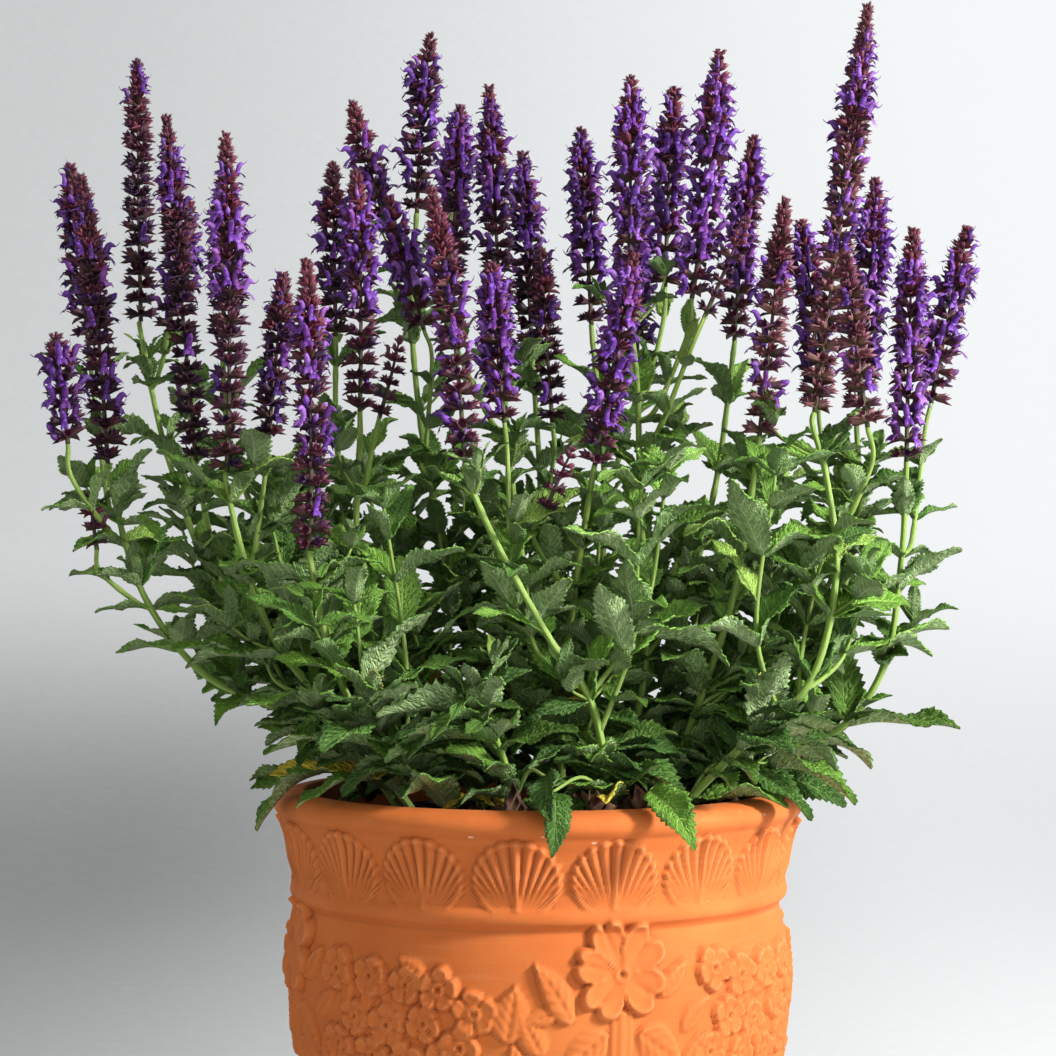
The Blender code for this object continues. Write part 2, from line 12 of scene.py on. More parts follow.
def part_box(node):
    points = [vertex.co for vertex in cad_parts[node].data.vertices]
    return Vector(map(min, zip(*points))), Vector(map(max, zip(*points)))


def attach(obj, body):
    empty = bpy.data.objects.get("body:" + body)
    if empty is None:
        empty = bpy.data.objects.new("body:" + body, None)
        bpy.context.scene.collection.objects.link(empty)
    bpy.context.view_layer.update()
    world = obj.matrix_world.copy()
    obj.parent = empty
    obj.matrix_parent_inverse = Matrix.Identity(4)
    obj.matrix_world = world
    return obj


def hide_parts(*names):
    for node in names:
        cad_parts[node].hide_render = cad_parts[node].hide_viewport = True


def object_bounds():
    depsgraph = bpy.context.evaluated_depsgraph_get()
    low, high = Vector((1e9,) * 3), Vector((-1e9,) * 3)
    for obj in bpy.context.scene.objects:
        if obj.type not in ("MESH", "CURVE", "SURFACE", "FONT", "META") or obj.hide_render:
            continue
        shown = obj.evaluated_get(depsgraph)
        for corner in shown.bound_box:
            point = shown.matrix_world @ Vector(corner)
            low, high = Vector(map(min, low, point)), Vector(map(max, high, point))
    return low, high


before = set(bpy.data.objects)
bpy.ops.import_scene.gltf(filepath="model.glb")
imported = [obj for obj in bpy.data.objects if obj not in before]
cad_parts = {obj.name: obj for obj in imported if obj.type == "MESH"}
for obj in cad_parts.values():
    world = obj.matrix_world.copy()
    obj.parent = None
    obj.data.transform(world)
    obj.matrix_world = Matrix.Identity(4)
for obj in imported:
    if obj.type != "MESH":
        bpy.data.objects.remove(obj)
cad_low, cad_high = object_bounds()

UV = "OFBake"
MM = 0.001

# ---- sizes read from the frame ----

pot_low, pot_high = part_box("terracotta_pot")
RIM_RADIUS = (pot_high.x - pot_low.x) / 2
POT_HEIGHT = pot_high.z
soil_low, soil_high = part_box("potting_soil")
SOIL_TOP = soil_high.z

# ---- the plant's layout, the same as the frame's ----

RIM_WIDTH = 0.020
CROWN_RADIUS = RIM_RADIUS - RIM_WIDTH - 0.028
PLANT_HEIGHT = 0.476
PLANT_WIDTH = 0.543
PLANT_DEPTH = 0.240
STEM_RADIUS = 0.0027
SIDE_STEM_RADIUS = 0.0019
STRAIGHT_END = 0.008
SIDE_STEM_SAG = 0.12

# Each shoot, in centimetres: across, back and up from the middle of the rim's plane. Its root is
# in shares of the crown's radius. "side" shoots leave the stem at a height and carry a spike each,
# and "buds" are the same with a small closed spike.
SHOOTS = (
    {"root": (-0.50, 0.42), "bends": ((-13.5, 7.0, 5.0), (-20.0, 8.0, 11.5), (-23.4, 8.2, 20.0)),
     "spike": ((-25.2, 8.5, 28.8), (-25.5, 9.0, 45.8)),
     "side": ((24.5, (-23.2, 6.2, 28.0), (-21.8, 5.8, 36.2)),)},
    {"root": (-0.44, 0.14), "bends": ((-12.0, 2.8, 4.0), (-18.6, 3.2, 10.5)),
     "spike": ((-21.1, 3.0, 19.8), (-22.9, 2.4, 41.3))},
    {"root": (-0.72, -0.22), "bends": ((-11.2, -2.8, 2.8), (-15.6, -3.6, 5.0), (-20.0, -4.2, 7.2),
                                      (-23.5, -4.4, 12.0)),
     "spike": ((-25.5, -4.4, 19.5), (-27.1, -4.6, 36.8)),
     "side": ((16.0, (-27.2, -0.9, 27.1), (-28.4, -0.4, 37.8)),
              (15.0, (-27.4, -7.4, 20.6), (-28.0, -8.0, 27.0))),
     "buds": ((11.0, (-26.0, -5.6, 14.6), (-26.4, -5.8, 17.6)),)},
    {"root": (-0.30, 0.58), "bends": ((-9.5, 8.0, 5.0), (-15.8, 10.0, 12.0), (-19.6, 11.0, 20.5)),
     "spike": ((-20.3, 11.2, 27.7), (-20.4, 11.6, 37.8))},
    {"root": (-0.62, -0.50), "bends": ((-10.5, -6.6, 3.4), (-15.0, -7.6, 8.6),
                                      (-17.0, -8.0, 13.6)),
     "spike": ((-18.1, -8.0, 18.9), (-18.2, -7.8, 38.9)),
     "side": ((13.4, (-16.0, -4.2, 21.0), (-15.1, -3.6, 30.9)),)},
    {"root": (-0.28, 0.28), "bends": ((-7.6, 4.4, 5.0), (-11.6, 5.6, 14.0), (-12.6, 6.0, 21.0)),
     "spike": ((-12.7, 6.2, 27.7), (-12.9, 6.4, 38.8))},
    {"root": (-0.38, -0.80), "bends": ((-7.4, -10.6, 2.6), (-10.2, -12.0, 5.0),
                                      (-12.0, -12.6, 9.4)),
     "spike": ((-12.9, -12.6, 14.4), (-13.2, -12.2, 31.2))},
    {"root": (-0.12, 0.66), "bends": ((-3.8, 9.8, 8.0), (-6.8, 11.2, 18.0), (-8.1, 11.6, 28.0)),
     "spike": ((-7.8, 11.6, 36.0), (-6.9, 11.6, 47.6)),
     "side": ((29.0, (-9.6, 10.4, 34.6), (-11.9, 9.8, 42.9)),
              (20.0, (-7.2, 7.2, 28.2), (-9.4, 6.8, 36.6)))},
    {"root": (-0.30, -0.12), "bends": ((-6.8, -1.6, 5.5), (-10.6, -2.4, 13.0)),
     "spike": ((-10.7, -2.4, 22.6), (-11.0, -2.0, 37.4)),
     "buds": ((17.5, (-9.4, -4.2, 22.4), (-8.2, -4.6, 27.0)),)},
    {"root": (0.02, 0.34), "bends": ((-0.6, 5.0, 10.0), (-1.8, 5.6, 20.0)),
     "spike": ((-2.3, 5.8, 28.0), (-3.1, 6.0, 43.5)),
     "side": ((21.5, (-5.4, 2.8, 30.0), (-4.8, 2.4, 41.8)),)},
    {"root": (0.10, 0.80), "bends": ((0.6, 11.4, 8.0), (0.2, 12.8, 18.0)),
     "spike": ((-0.4, 13.0, 27.6), (-1.0, 13.0, 40.3)),
     "side": ((16.5, (0.9, 8.6, 22.4), (0.2, 8.8, 33.6)),)},
    {"root": (0.40, -0.84), "bends": ((3.0, -11.0, 5.6), (0.6, -12.4, 9.4), (-2.4, -12.4, 14.8)),
     "spike": ((-4.2, -12.0, 19.4), (-6.2, -11.4, 35.3)),
     "side": ((13.0, (-2.0, -8.4, 21.8), (-2.8, -8.0, 31.2)),)},
    {"root": (0.30, 0.52), "bends": ((3.8, 8.0, 8.0), (4.2, 8.8, 19.0)),
     "spike": ((3.4, 8.8, 28.6), (2.7, 8.6, 41.3)),
     "side": ((18.5, (6.4, 12.0, 26.4), (6.6, 12.6, 38.0)),)},
    {"root": (0.42, -0.30), "bends": ((6.3, -4.4, 8.0), (6.0, -4.8, 17.0), (5.8, -5.0, 24.0)),
     "spike": ((5.4, -5.0, 28.6), (5.4, -4.8, 42.6)),
     "side": ((23.0, (7.6, -1.6, 30.2), (8.2, -1.2, 42.4)),
              (22.0, (9.0, -5.4, 29.2), (10.6, -5.6, 44.0))),
     "buds": ((20.5, (9.6, -9.0, 28.0), (12.0, -9.4, 33.6)),)},
    {"root": (0.12, -0.42), "bends": ((1.4, -6.0, 6.0), (2.2, -8.0, 13.0)),
     "spike": ((3.2, -9.2, 19.3), (5.5, -10.0, 31.5)),
     "buds": ((11.5, (0.4, -10.4, 16.8), (1.9, -10.8, 20.2)),)},
    {"root": (0.56, 0.50), "bends": ((8.6, 8.0, 8.0), (11.2, 9.0, 18.0)),
     "spike": ((12.5, 9.2, 27.6), (13.8, 9.4, 40.8))},
    {"root": (0.62, -0.40), "bends": ((9.4, -5.6, 5.4), (11.4, -7.0, 12.0)),
     "spike": ((12.8, -7.6, 21.0), (14.3, -7.8, 35.0))},
    {"root": (0.64, -0.74), "bends": ((11.0, -10.0, 2.6), (15.4, -10.6, 6.8), (17.0, -10.2, 13.0),
                                      (16.6, -9.0, 18.4)),
     "spike": ((16.0, -7.6, 22.4), (19.8, -2.0, 47.4)),
     "side": ((15.4, (18.6, -12.0, 21.4), (17.2, -12.8, 31.4)),)},
    {"root": (0.62, 0.06), "bends": ((12.6, 0.4, 4.6), (17.4, 0.6, 9.4), (19.4, 0.6, 16.0)),
     "spike": ((19.4, 0.6, 22.8), (20.5, 0.8, 37.2)),
     "side": ((14.0, (17.4, 4.6, 23.4), (16.4, 5.4, 35.0)),)},
    {"root": (0.78, -0.20), "bends": ((12.6, -2.8, 2.2), (17.4, -3.6, 3.4), (20.4, -4.2, 7.4),
                                      (21.4, -4.6, 13.6)),
     "spike": ((21.7, -4.8, 19.6), (22.1, -5.0, 33.5)),
     "side": ((14.0, (23.6, -1.4, 23.2), (25.9, -0.8, 34.0)),)},
)

# Short shoots with leaves and no flowers, which fill the mound over the rim.
LEAFY_SHOOTS = (
    {"root": (-0.10, -0.92), "bends": ((-2.0, -12.6, 2.6), (-3.4, -14.6, 6.0))},
    {"root": (0.86, 0.34), "bends": ((12.4, 6.6, 3.2), (15.6, 8.6, 8.6))},
    {"root": (-0.76, 0.42), "bends": ((-11.4, 7.8, 3.4), (-14.6, 10.6, 9.0))},
)

# How each spike looks: where its open flowers start and end, as shares of its length, how many of
# the flowers there are open, and the tone of its calyces (0 near-black maroon, 1 plum, 2 dried).
LOOKS = {
    "01": (0.78, 0.95, 0.45, 0), "01_side_1": (0.10, 0.86, 0.60, 0), "02": (0.66, 0.90, 0.80, 0),
    "03": (0.10, 0.80, 0.22, 0), "03_side_1": (0.05, 0.86, 0.75, 0),
    "03_side_2": (0.02, 0.80, 0.85, 0), "04": (0.20, 0.80, 0.18, 0), "05": (0.45, 0.86, 0.85, 1),
    "05_side_1": (0.10, 0.80, 0.45, 0), "06": (0.25, 0.80, 0.35, 0), "07": (0.30, 0.80, 0.55, 1),
    "08": (0.15, 0.80, 0.75, 0), "08_side_1": (0.10, 0.70, 0.70, 1),
    "08_side_2": (0.10, 0.86, 0.80, 1), "09": (0.35, 0.86, 0.70, 1), "10": (0.30, 0.90, 0.60, 0),
    "10_side_1": (0.20, 0.88, 0.70, 0), "11": (0.25, 0.90, 0.65, 0),
    "11_side_1": (0.20, 0.80, 0.15, 0), "12": (0.02, 0.80, 0.50, 1),
    "12_side_1": (0.02, 0.90, 0.90, 1), "13": (0.20, 0.92, 0.75, 0),
    "13_side_1": (0.10, 0.90, 0.50, 0), "14": (0.02, 0.88, 0.95, 1),
    "14_side_1": (0.04, 0.86, 0.85, 1), "14_side_2": (0.04, 0.88, 0.95, 1),
    "15": (0.10, 0.88, 0.80, 1), "16": (0.15, 0.90, 0.85, 1), "17": (0.10, 0.70, 0.25, 2),
    "18": (0.34, 0.90, 0.60, 2), "18_side_1": (0.10, 0.60, 0.12, 2), "19": (0.12, 0.90, 0.85, 1),
    "19_side_1": (0.10, 0.90, 0.80, 1), "20": (0.0, 0.84, 0.92, 1),
    "20_side_1": (0.04, 0.76, 0.92, 1),
}


# ---- meshes ----


class Shape:
    """A growing mesh: points, faces, a UV for each face corner and a material for each face."""

    def __init__(self):
        self.points, self.quads, self.tris = [], [], []
        self.quad_uvs, self.tri_uvs = [], []
        self.quad_slots, self.tri_slots = [], []
        self.count = 0

    def add(self, points, quads=(), quad_uvs=(), tris=(), tri_uvs=(), slot=0):
        points = np.asarray(points, float).reshape(-1, 3)
        self.points.append(points)
        if len(quads):
            self.quads.append(np.asarray(quads, int) + self.count)
            self.quad_uvs.append(np.asarray(quad_uvs, float).reshape(-1, 4, 2))
            self.quad_slots.append(np.full(len(quads), slot))
        if len(tris):
            self.tris.append(np.asarray(tris, int) + self.count)
            self.tri_uvs.append(np.asarray(tri_uvs, float).reshape(-1, 3, 2))
            self.tri_slots.append(np.full(len(tris), slot))
        self.count += len(points)

    def frozen(self):
        """(points, quads, quad UVs, tris, tri UVs) joined into single arrays."""
        def joined(parts, shape, kind):
            return np.concatenate(parts) if parts else np.zeros(shape, kind)

        return (
            joined(self.points, (0, 3), float),
            joined(self.quads, (0, 4), int),
            joined(self.quad_uvs, (0, 4, 2), float),
            joined(self.tris, (0, 3), int),
            joined(self.tri_uvs, (0, 3, 2), float),
        )

    def copies(self, template, matrices, offsets, tile_size, slot=0):
        """Adds a copy of a template for each 4x4 matrix, its UVs moved into that copy's tile."""
        if not len(matrices):
            return
        points, quads, quad_uvs, tris, tri_uvs = template
        matrices = np.asarray(matrices)
        offsets = np.asarray(offsets)
        moved = np.einsum("nij,pj->npi", matrices[:, :3, :3], points) + matrices[:, None, :3, 3]
        starts = np.arange(len(matrices)) * len(points)
        tile = np.asarray(tile_size)
        self.add(
            moved.reshape(-1, 3),
            (quads[None] + starts[:, None, None]).reshape(-1, 4),
            (quad_uvs[None] * tile + offsets[:, None, None, :]).reshape(-1, 4, 2),
            (tris[None] + starts[:, None, None]).reshape(-1, 3),
            (tri_uvs[None] * tile + offsets[:, None, None, :]).reshape(-1, 3, 2),
            slot,
        )

    def build(self, name, materials):
        points, quads, quad_uvs, tris, tri_uvs = self.frozen()
        mesh = bpy.data.meshes.new(name)
        mesh.vertices.add(len(points))
        mesh.vertices.foreach_set("co", points.ravel())
        corners = np.concatenate([quads.ravel(), tris.ravel()])
        mesh.loops.add(len(corners))
        mesh.loops.foreach_set("vertex_index", corners)
        mesh.polygons.add(len(quads) + len(tris))
        starts = [np.arange(len(quads)) * 4, len(quads) * 4 + np.arange(len(tris)) * 3]
        starts = np.concatenate(starts)
        mesh.polygons.foreach_set("loop_start", starts)
        slots = np.concatenate([*self.quad_slots, *self.tri_slots])
        mesh.polygons.foreach_set("material_index", slots)
        layer = mesh.uv_layers.new(name=UV)
        layer.uv.foreach_set("vector", np.concatenate([quad_uvs.ravel(), tri_uvs.ravel()]))
        mesh.update(calc_edges=True)
        mesh.validate()
        for material in materials:
            mesh.materials.append(material)
        mesh.shade_smooth()
        obj = bpy.data.objects.new(name, mesh)
        bpy.context.scene.collection.objects.link(obj)
        return obj


def grid_quads(rows, columns, wrap):
    """Quads over a grid of points, and their corner UVs: u across the columns, v up the rows."""
    across = columns if wrap else columns - 1
    i, j = np.meshgrid(np.arange(rows - 1), np.arange(across), indexing="ij")
    i, j = i.ravel(), j.ravel()
    right = (j + 1) % columns
    quads = np.stack([i * columns + j, i * columns + right, (i + 1) * columns + right,
                      (i + 1) * columns + j], 1)
    u0, u1 = j / across, (j + 1) / across
    v0, v1 = i / (rows - 1), (i + 1) / (rows - 1)
    uvs = np.stack([np.stack([u0, v0], 1), np.stack([u1, v0], 1), np.stack([u1, v1], 1),
                    np.stack([u0, v1], 1)], 1)
    return quads, uvs


def add_loft(shape, rings, tile=((0.0, 0.0), (1.0, 1.0)), slot=0):
    """A closed skin over rings of points, each going round anticlockwise seen from its end."""
    rings = np.asarray(rings, float)
    rows, columns = rings.shape[:2]
    offset, size = np.asarray(tile[0]), np.asarray(tile[1])
    quads, uvs = grid_quads(rows, columns, True)
    points = [rings.reshape(-1, 3)]
    tris, tri_uvs = [], []
    for row, v in ((0, 0.0), (rows - 1, 1.0)):
        middle = rows * columns + len(points) - 1
        points.append(rings[row].mean(0)[None])
        for j in range(columns):
            a, b = row * columns + j, row * columns + (j + 1) % columns
            ua, ub = j / columns, (j + 1) / columns
            if row == 0:
                a, b, ua, ub = b, a, ub, ua
            tris.append((a, b, middle))
            tri_uvs.append(((ua, v), (ub, v), ((ua + ub) / 2, v)))
    tri_uvs = np.asarray(tri_uvs, float).reshape(-1, 3, 2) * size + offset
    shape.add(np.concatenate(points), quads, uvs * size + offset, tris, tri_uvs, slot)


def add_sheet(shape, top, bottom, top_tile, bottom_tile, slot=0):
    """A thin closed solid between two grids of points, each side with its own UV tile."""
    rows, columns = top.shape[:2]
    quads, uvs = grid_quads(rows, columns, False)
    count = rows * columns
    (t0, t1), (b0, b1) = np.asarray(top_tile, float), np.asarray(bottom_tile, float)
    edge = [*range(columns), *(i * columns + columns - 1 for i in range(1, rows))]
    edge += [(rows - 1) * columns + j for j in range(columns - 2, -1, -1)]
    edge += [i * columns for i in range(rows - 2, 0, -1)]
    edge = np.array(edge)
    after = np.roll(edge, -1)
    rim = np.stack([after, edge, edge + count, after + count], 1)

    def place(index):
        return np.stack([(index % columns) / (columns - 1), (index // columns) / (rows - 1)], 1)

    rim_uvs = np.stack([place(after), place(edge), place(edge), place(after)], 1)
    shape.add(
        np.concatenate([top.reshape(-1, 3), bottom.reshape(-1, 3)]),
        np.concatenate([quads, quads[:, ::-1] + count, rim]),
        np.concatenate([uvs * t1 + t0, uvs[:, ::-1] * b1 + b0, rim_uvs * t1 + t0]),
        slot=slot,
    )


# ---- paths ----


def catmull(points, count):
    """Catmull-Rom through the points, read at evenly spaced lengths."""
    points = [np.asarray(p, float) for p in points]
    padded = [2 * points[0] - points[1], *points, 2 * points[-1] - points[-2]]
    t = np.linspace(0, 1, 17)[:-1, None]
    fine = []
    for a, b, c, d in zip(padded, padded[1:], padded[2:], padded[3:]):
        fine.append(0.5 * (2 * b + (c - a) * t + (2 * a - 5 * b + 4 * c - d) * t**2
                           + (3 * b - a - 3 * c + d) * t**3))
    fine.append(points[-1][None])
    return evenly(np.concatenate(fine), count)


def run_lengths(path):
    return np.concatenate([[0.0], np.cumsum(np.linalg.norm(np.diff(path, axis=0), axis=1))])


def evenly(path, count):
    lengths = run_lengths(path)
    wanted = np.linspace(0, lengths[-1], count)
    return np.stack([np.interp(wanted, lengths, path[:, k]) for k in range(3)], 1)


def at_length(path, lengths, wanted):
    return np.array([np.interp(wanted, lengths, path[:, k]) for k in range(3)])


def unit(v):
    return v / np.maximum(np.linalg.norm(v, axis=-1, keepdims=True), 1e-12)


def frames_along(path):
    """(tangents, first normals, second normals) that turn as little as they can along a path."""
    tangents = unit(np.gradient(path, axis=0))
    normals = np.zeros_like(path)
    start = np.array([0.0, -1.0, 0.0])
    start = start - tangents[0] * start.dot(tangents[0])
    normals[0] = unit(start)
    for i in range(1, len(path)):
        n = normals[i - 1] - tangents[i] * normals[i - 1].dot(tangents[i])
        normals[i] = unit(n)
    return tangents, normals, np.cross(tangents, normals)


def round_rings(path, radii, sides, squareness=0.0):
    """Rings round a path. squareness from 0, round, to 1, a square stem with hollow sides."""
    _, first, second = frames_along(path)
    angle = np.arange(sides) * 2 * math.pi / sides
    shape = 1 + squareness * (0.16 * np.cos(4 * angle) - 0.06)
    radii = np.asarray(radii)[:, None] * shape[None]
    return (path[:, None] + first[:, None] * (radii * np.cos(angle))[..., None]
            + second[:, None] * (radii * np.sin(angle))[..., None])


# ---- materials ----


class Nodes:
    """Short calls for building a material's nodes."""

    def __init__(self, name):
        self.material = bpy.data.materials.new(name)
        self.material.use_nodes = True
        self.tree = self.material.node_tree
        self.shader = self.tree.nodes["Principled BSDF"]

    def link(self, value, socket):
        if isinstance(value, bpy.types.NodeSocket):
            self.tree.links.new(value, socket)
        else:
            socket.default_value = value

    def math(self, operation, a, b=0.0, c=0.0):
        node = self.tree.nodes.new("ShaderNodeMath")
        node.operation = operation
        for value, socket in zip((a, b, c), node.inputs):
            self.link(value, socket)
        return node.outputs[0]

    def times(self, a, b):
        return self.math("MULTIPLY", a, b)

    def noise(self, vector, scale, detail=3.0, roughness=0.55, distortion=0.0):
        node = self.tree.nodes.new("ShaderNodeTexNoise")
        self.link(vector, node.inputs["Vector"])
        node.inputs["Scale"].default_value = scale
        node.inputs["Detail"].default_value = detail
        node.inputs["Roughness"].default_value = roughness
        node.inputs["Distortion"].default_value = distortion
        return node.outputs["Fac"]

    def cells(self, vector, scale, feature="F1"):
        node = self.tree.nodes.new("ShaderNodeTexVoronoi")
        node.feature = feature
        self.link(vector, node.inputs["Vector"])
        node.inputs["Scale"].default_value = scale
        return node.outputs["Distance"]

    def ramp(self, factor, stops, interpolation="LINEAR"):
        node = self.tree.nodes.new("ShaderNodeValToRGB")
        node.color_ramp.interpolation = interpolation
        elements = node.color_ramp.elements
        while len(elements) < len(stops):
            elements.new(0.5)
        for element, (place, colour) in zip(elements, stops):
            element.position = place
            element.color = (*colour, 1.0)
        self.link(factor, node.inputs["Fac"])
        return node.outputs["Color"]

    def steps(self, factor, low, high, out_low=0.0, out_high=1.0):
        node = self.tree.nodes.new("ShaderNodeMapRange")
        node.interpolation_type = "SMOOTHSTEP"
        for value, socket in zip((factor, low, high, out_low, out_high), node.inputs):
            self.link(value, socket)
        return node.outputs["Result"]

    def mix(self, factor, a, b, blend="MIX"):
        node = self.tree.nodes.new("ShaderNodeMix")
        node.data_type = "RGBA"
        node.blend_type = blend
        self.link(factor, node.inputs["Factor"])
        for value, socket in ((a, node.inputs["A"]), (b, node.inputs["B"])):
            self.link((*value, 1.0) if isinstance(value, tuple) else value, socket)
        return node.outputs["Result"]

    def tinted(self, colour, by):
        return self.mix(1.0, colour, by, "MULTIPLY")

    def bump(self, height, distance, strength=1.0, normal=None):
        node = self.tree.nodes.new("ShaderNodeBump")
        node.inputs["Strength"].default_value = strength
        node.inputs["Distance"].default_value = distance
        self.link(height, node.inputs["Height"])
        if normal is not None:
            self.link(normal, node.inputs["Normal"])
        return node.outputs["Normal"]

    def vector(self, x, y, z=0.0):
        node = self.tree.nodes.new("ShaderNodeCombineXYZ")
        for value, socket in zip((x, y, z), node.inputs):
            self.link(value, socket)
        return node.outputs[0]

    def parts(self, vector):
        node = self.tree.nodes.new("ShaderNodeSeparateXYZ")
        self.link(vector, node.inputs[0])
        return node.outputs[0], node.outputs[1], node.outputs[2]

    def place(self):
        return self.tree.nodes.new("ShaderNodeTexCoord").outputs["Object"]

    def uv(self):
        node = self.tree.nodes.new("ShaderNodeUVMap")
        node.uv_map = UV
        x, y, _ = self.parts(node.outputs["UV"])
        return x, y

    def tiles(self, start, columns, rows, per_u):
        """(u in the tile, v in the tile, its number) for a grid of UV tiles from u = start."""
        u, v = self.uv()
        across = self.times(self.math("SUBTRACT", u, start), per_u)
        up = self.times(v, float(rows))
        column = self.math("FLOOR", across)
        row = self.math("FLOOR", up)
        number = self.math("MULTIPLY_ADD", row, float(columns), column)
        return self.math("FRACT", across), self.math("FRACT", up), number

    def set(self, **values):
        """Sets or links the shader's sockets, named with _ for each space."""
        for name, value in values.items():
            self.link(value, self.shader.inputs[name.replace("_", " ")])


# The UV maps are atlases of tiles: the tile says which tone a leaf, calyx or petal has.
LEAF_START, LEAF_COLUMNS, LEAF_ROWS = 0.25, 4, 4
FLOWER_COLUMNS, FLOWER_ROWS, PETAL_START = 2, 4, 0.5
PER_LEAF_U = LEAF_COLUMNS / (1 - LEAF_START)
PER_FLOWER_U = FLOWER_COLUMNS / 0.5
TILE_INSET = 0.04


def tile_of(number, start, columns, rows, per_u):
    """(corner, size) of a tile in UV, a little inside its own border."""
    size = np.array([1 / per_u, 1 / rows])
    corner = np.array([start, 0.0]) + size * (number % columns, number // columns)
    return corner + size * TILE_INSET, size * (1 - 2 * TILE_INSET)


def leaf_tile(number):
    return tile_of(number, LEAF_START, LEAF_COLUMNS, LEAF_ROWS, PER_LEAF_U)


def flower_tile(number, start):
    return tile_of(number, start, FLOWER_COLUMNS, FLOWER_ROWS, PER_FLOWER_U)


def make_terracotta():
    n = Nodes("moulded_terracotta")
    place = n.place()
    x, y, z = n.parts(place)
    # Stretched noise gives the faint streaks that run round a pot as it turns on the wheel.
    turned = n.vector(n.times(x, 0.06), n.times(y, 0.06), z)
    streaks = n.noise(turned, 210.0, 4.0, 0.6)
    patches = n.noise(place, 11.0, 5.0, 0.6, 0.4)
    mottling = n.noise(place, 46.0, 4.0, 0.65)
    grain = n.noise(place, 900.0, 2.0, 0.6)
    colour = n.ramp(patches, ((0.25, (0.585, 0.132, 0.024)), (0.55, (0.69, 0.176, 0.034)),
                              (0.80, (0.745, 0.215, 0.050))))
    colour = n.mix(n.steps(mottling, 0.45, 0.75, 0.0, 0.35), colour, (0.64, 0.20, 0.06))
    colour = n.mix(n.steps(streaks, 0.54, 0.82, 0.0, 0.16), colour, (0.84, 0.43, 0.22))
    colour = n.mix(n.steps(streaks, 0.44, 0.22, 0.0, 0.12), colour, (0.52, 0.165, 0.05))
    # Edges are paler, partly dust and rubbing and partly painted highlight, and the hollows get
    # painted shade, a dark brown.
    geometry = n.tree.nodes.new("ShaderNodeNewGeometry")
    edges = geometry.outputs["Pointiness"]
    colour = n.mix(n.steps(edges, 0.506, 0.58, 0.0, 0.26), colour, (0.88, 0.40, 0.18))
    colour = n.mix(n.steps(edges, 0.494, 0.43, 0.0, 0.80), colour, (0.27, 0.066, 0.015))
    # White mineral flecks and short scratches, thickest on the rim.
    flecks = n.cells(n.vector(n.times(x, 0.35), n.times(y, 0.35), z), 130.0)
    near_rim = n.steps(z, POT_HEIGHT - 0.030, POT_HEIGHT - 0.004, 0.03, 0.13)
    fleck = n.math("LESS_THAN", flecks, near_rim)
    fleck = n.times(fleck, n.steps(n.noise(place, 38.0, 2.0), 0.52, 0.60))
    colour = n.mix(n.times(fleck, 0.65), colour, (0.90, 0.74, 0.60))
    # Darker clay on the inside of the wall, below the lip.
    radius = n.math("SQRT", n.math("ADD", n.times(x, x), n.times(y, y)))
    inside = n.steps(radius, RIM_RADIUS - 0.019, RIM_RADIUS - 0.026, 0.0, 0.55)
    high = n.steps(z, POT_HEIGHT - 0.03, POT_HEIGHT - 0.006)
    colour = n.mix(n.times(inside, high), colour, (0.28, 0.09, 0.035))
    n.set(Base_Color=colour, Roughness=n.steps(mottling, 0.3, 0.7, 0.74, 0.90))
    n.set(Specular_IOR_Level=0.32)
    normal = n.bump(grain, 0.00012, 0.7)
    normal = n.bump(streaks, 0.0003, 0.2, normal)
    n.set(Normal=n.bump(mottling, 0.0010, 0.35, normal))
    return n.material


def make_soil():
    n = Nodes("potting_mix")
    place = n.place()
    lumps = n.noise(place, 160.0, 5.0, 0.7)
    crumbs = n.cells(place, 420.0)
    colour = n.ramp(lumps, ((0.30, (0.006, 0.004, 0.003)), (0.55, (0.030, 0.018, 0.011)),
                            (0.75, (0.070, 0.042, 0.024))))
    specks = n.steps(n.noise(place, 60.0, 2.0), 0.62, 0.72, 0.0, 0.8)
    colour = n.mix(specks, colour, (0.13, 0.075, 0.040))
    n.set(Base_Color=colour, Roughness=n.steps(lumps, 0.3, 0.7, 0.80, 0.97))
    normal = n.bump(crumbs, 0.0012, 0.9)
    n.set(Normal=n.bump(lumps, 0.0030, 0.9, normal))
    return n.material


def make_litter():
    n = Nodes("dry_leaf_litter")
    place = n.place()
    tone = n.noise(place, 34.0, 2.0)
    veins = n.noise(place, 420.0, 4.0, 0.7)
    colour = n.ramp(tone, ((0.30, (0.030, 0.013, 0.007)), (0.50, (0.095, 0.042, 0.018)),
                           (0.68, (0.230, 0.120, 0.052))))
    colour = n.mix(n.steps(veins, 0.45, 0.70, 0.0, 0.6), colour, (0.06, 0.028, 0.014))
    n.set(Base_Color=colour, Roughness=n.steps(veins, 0.3, 0.7, 0.62, 0.85))
    n.set(Normal=n.bump(veins, 0.0008, 0.9))
    return n.material


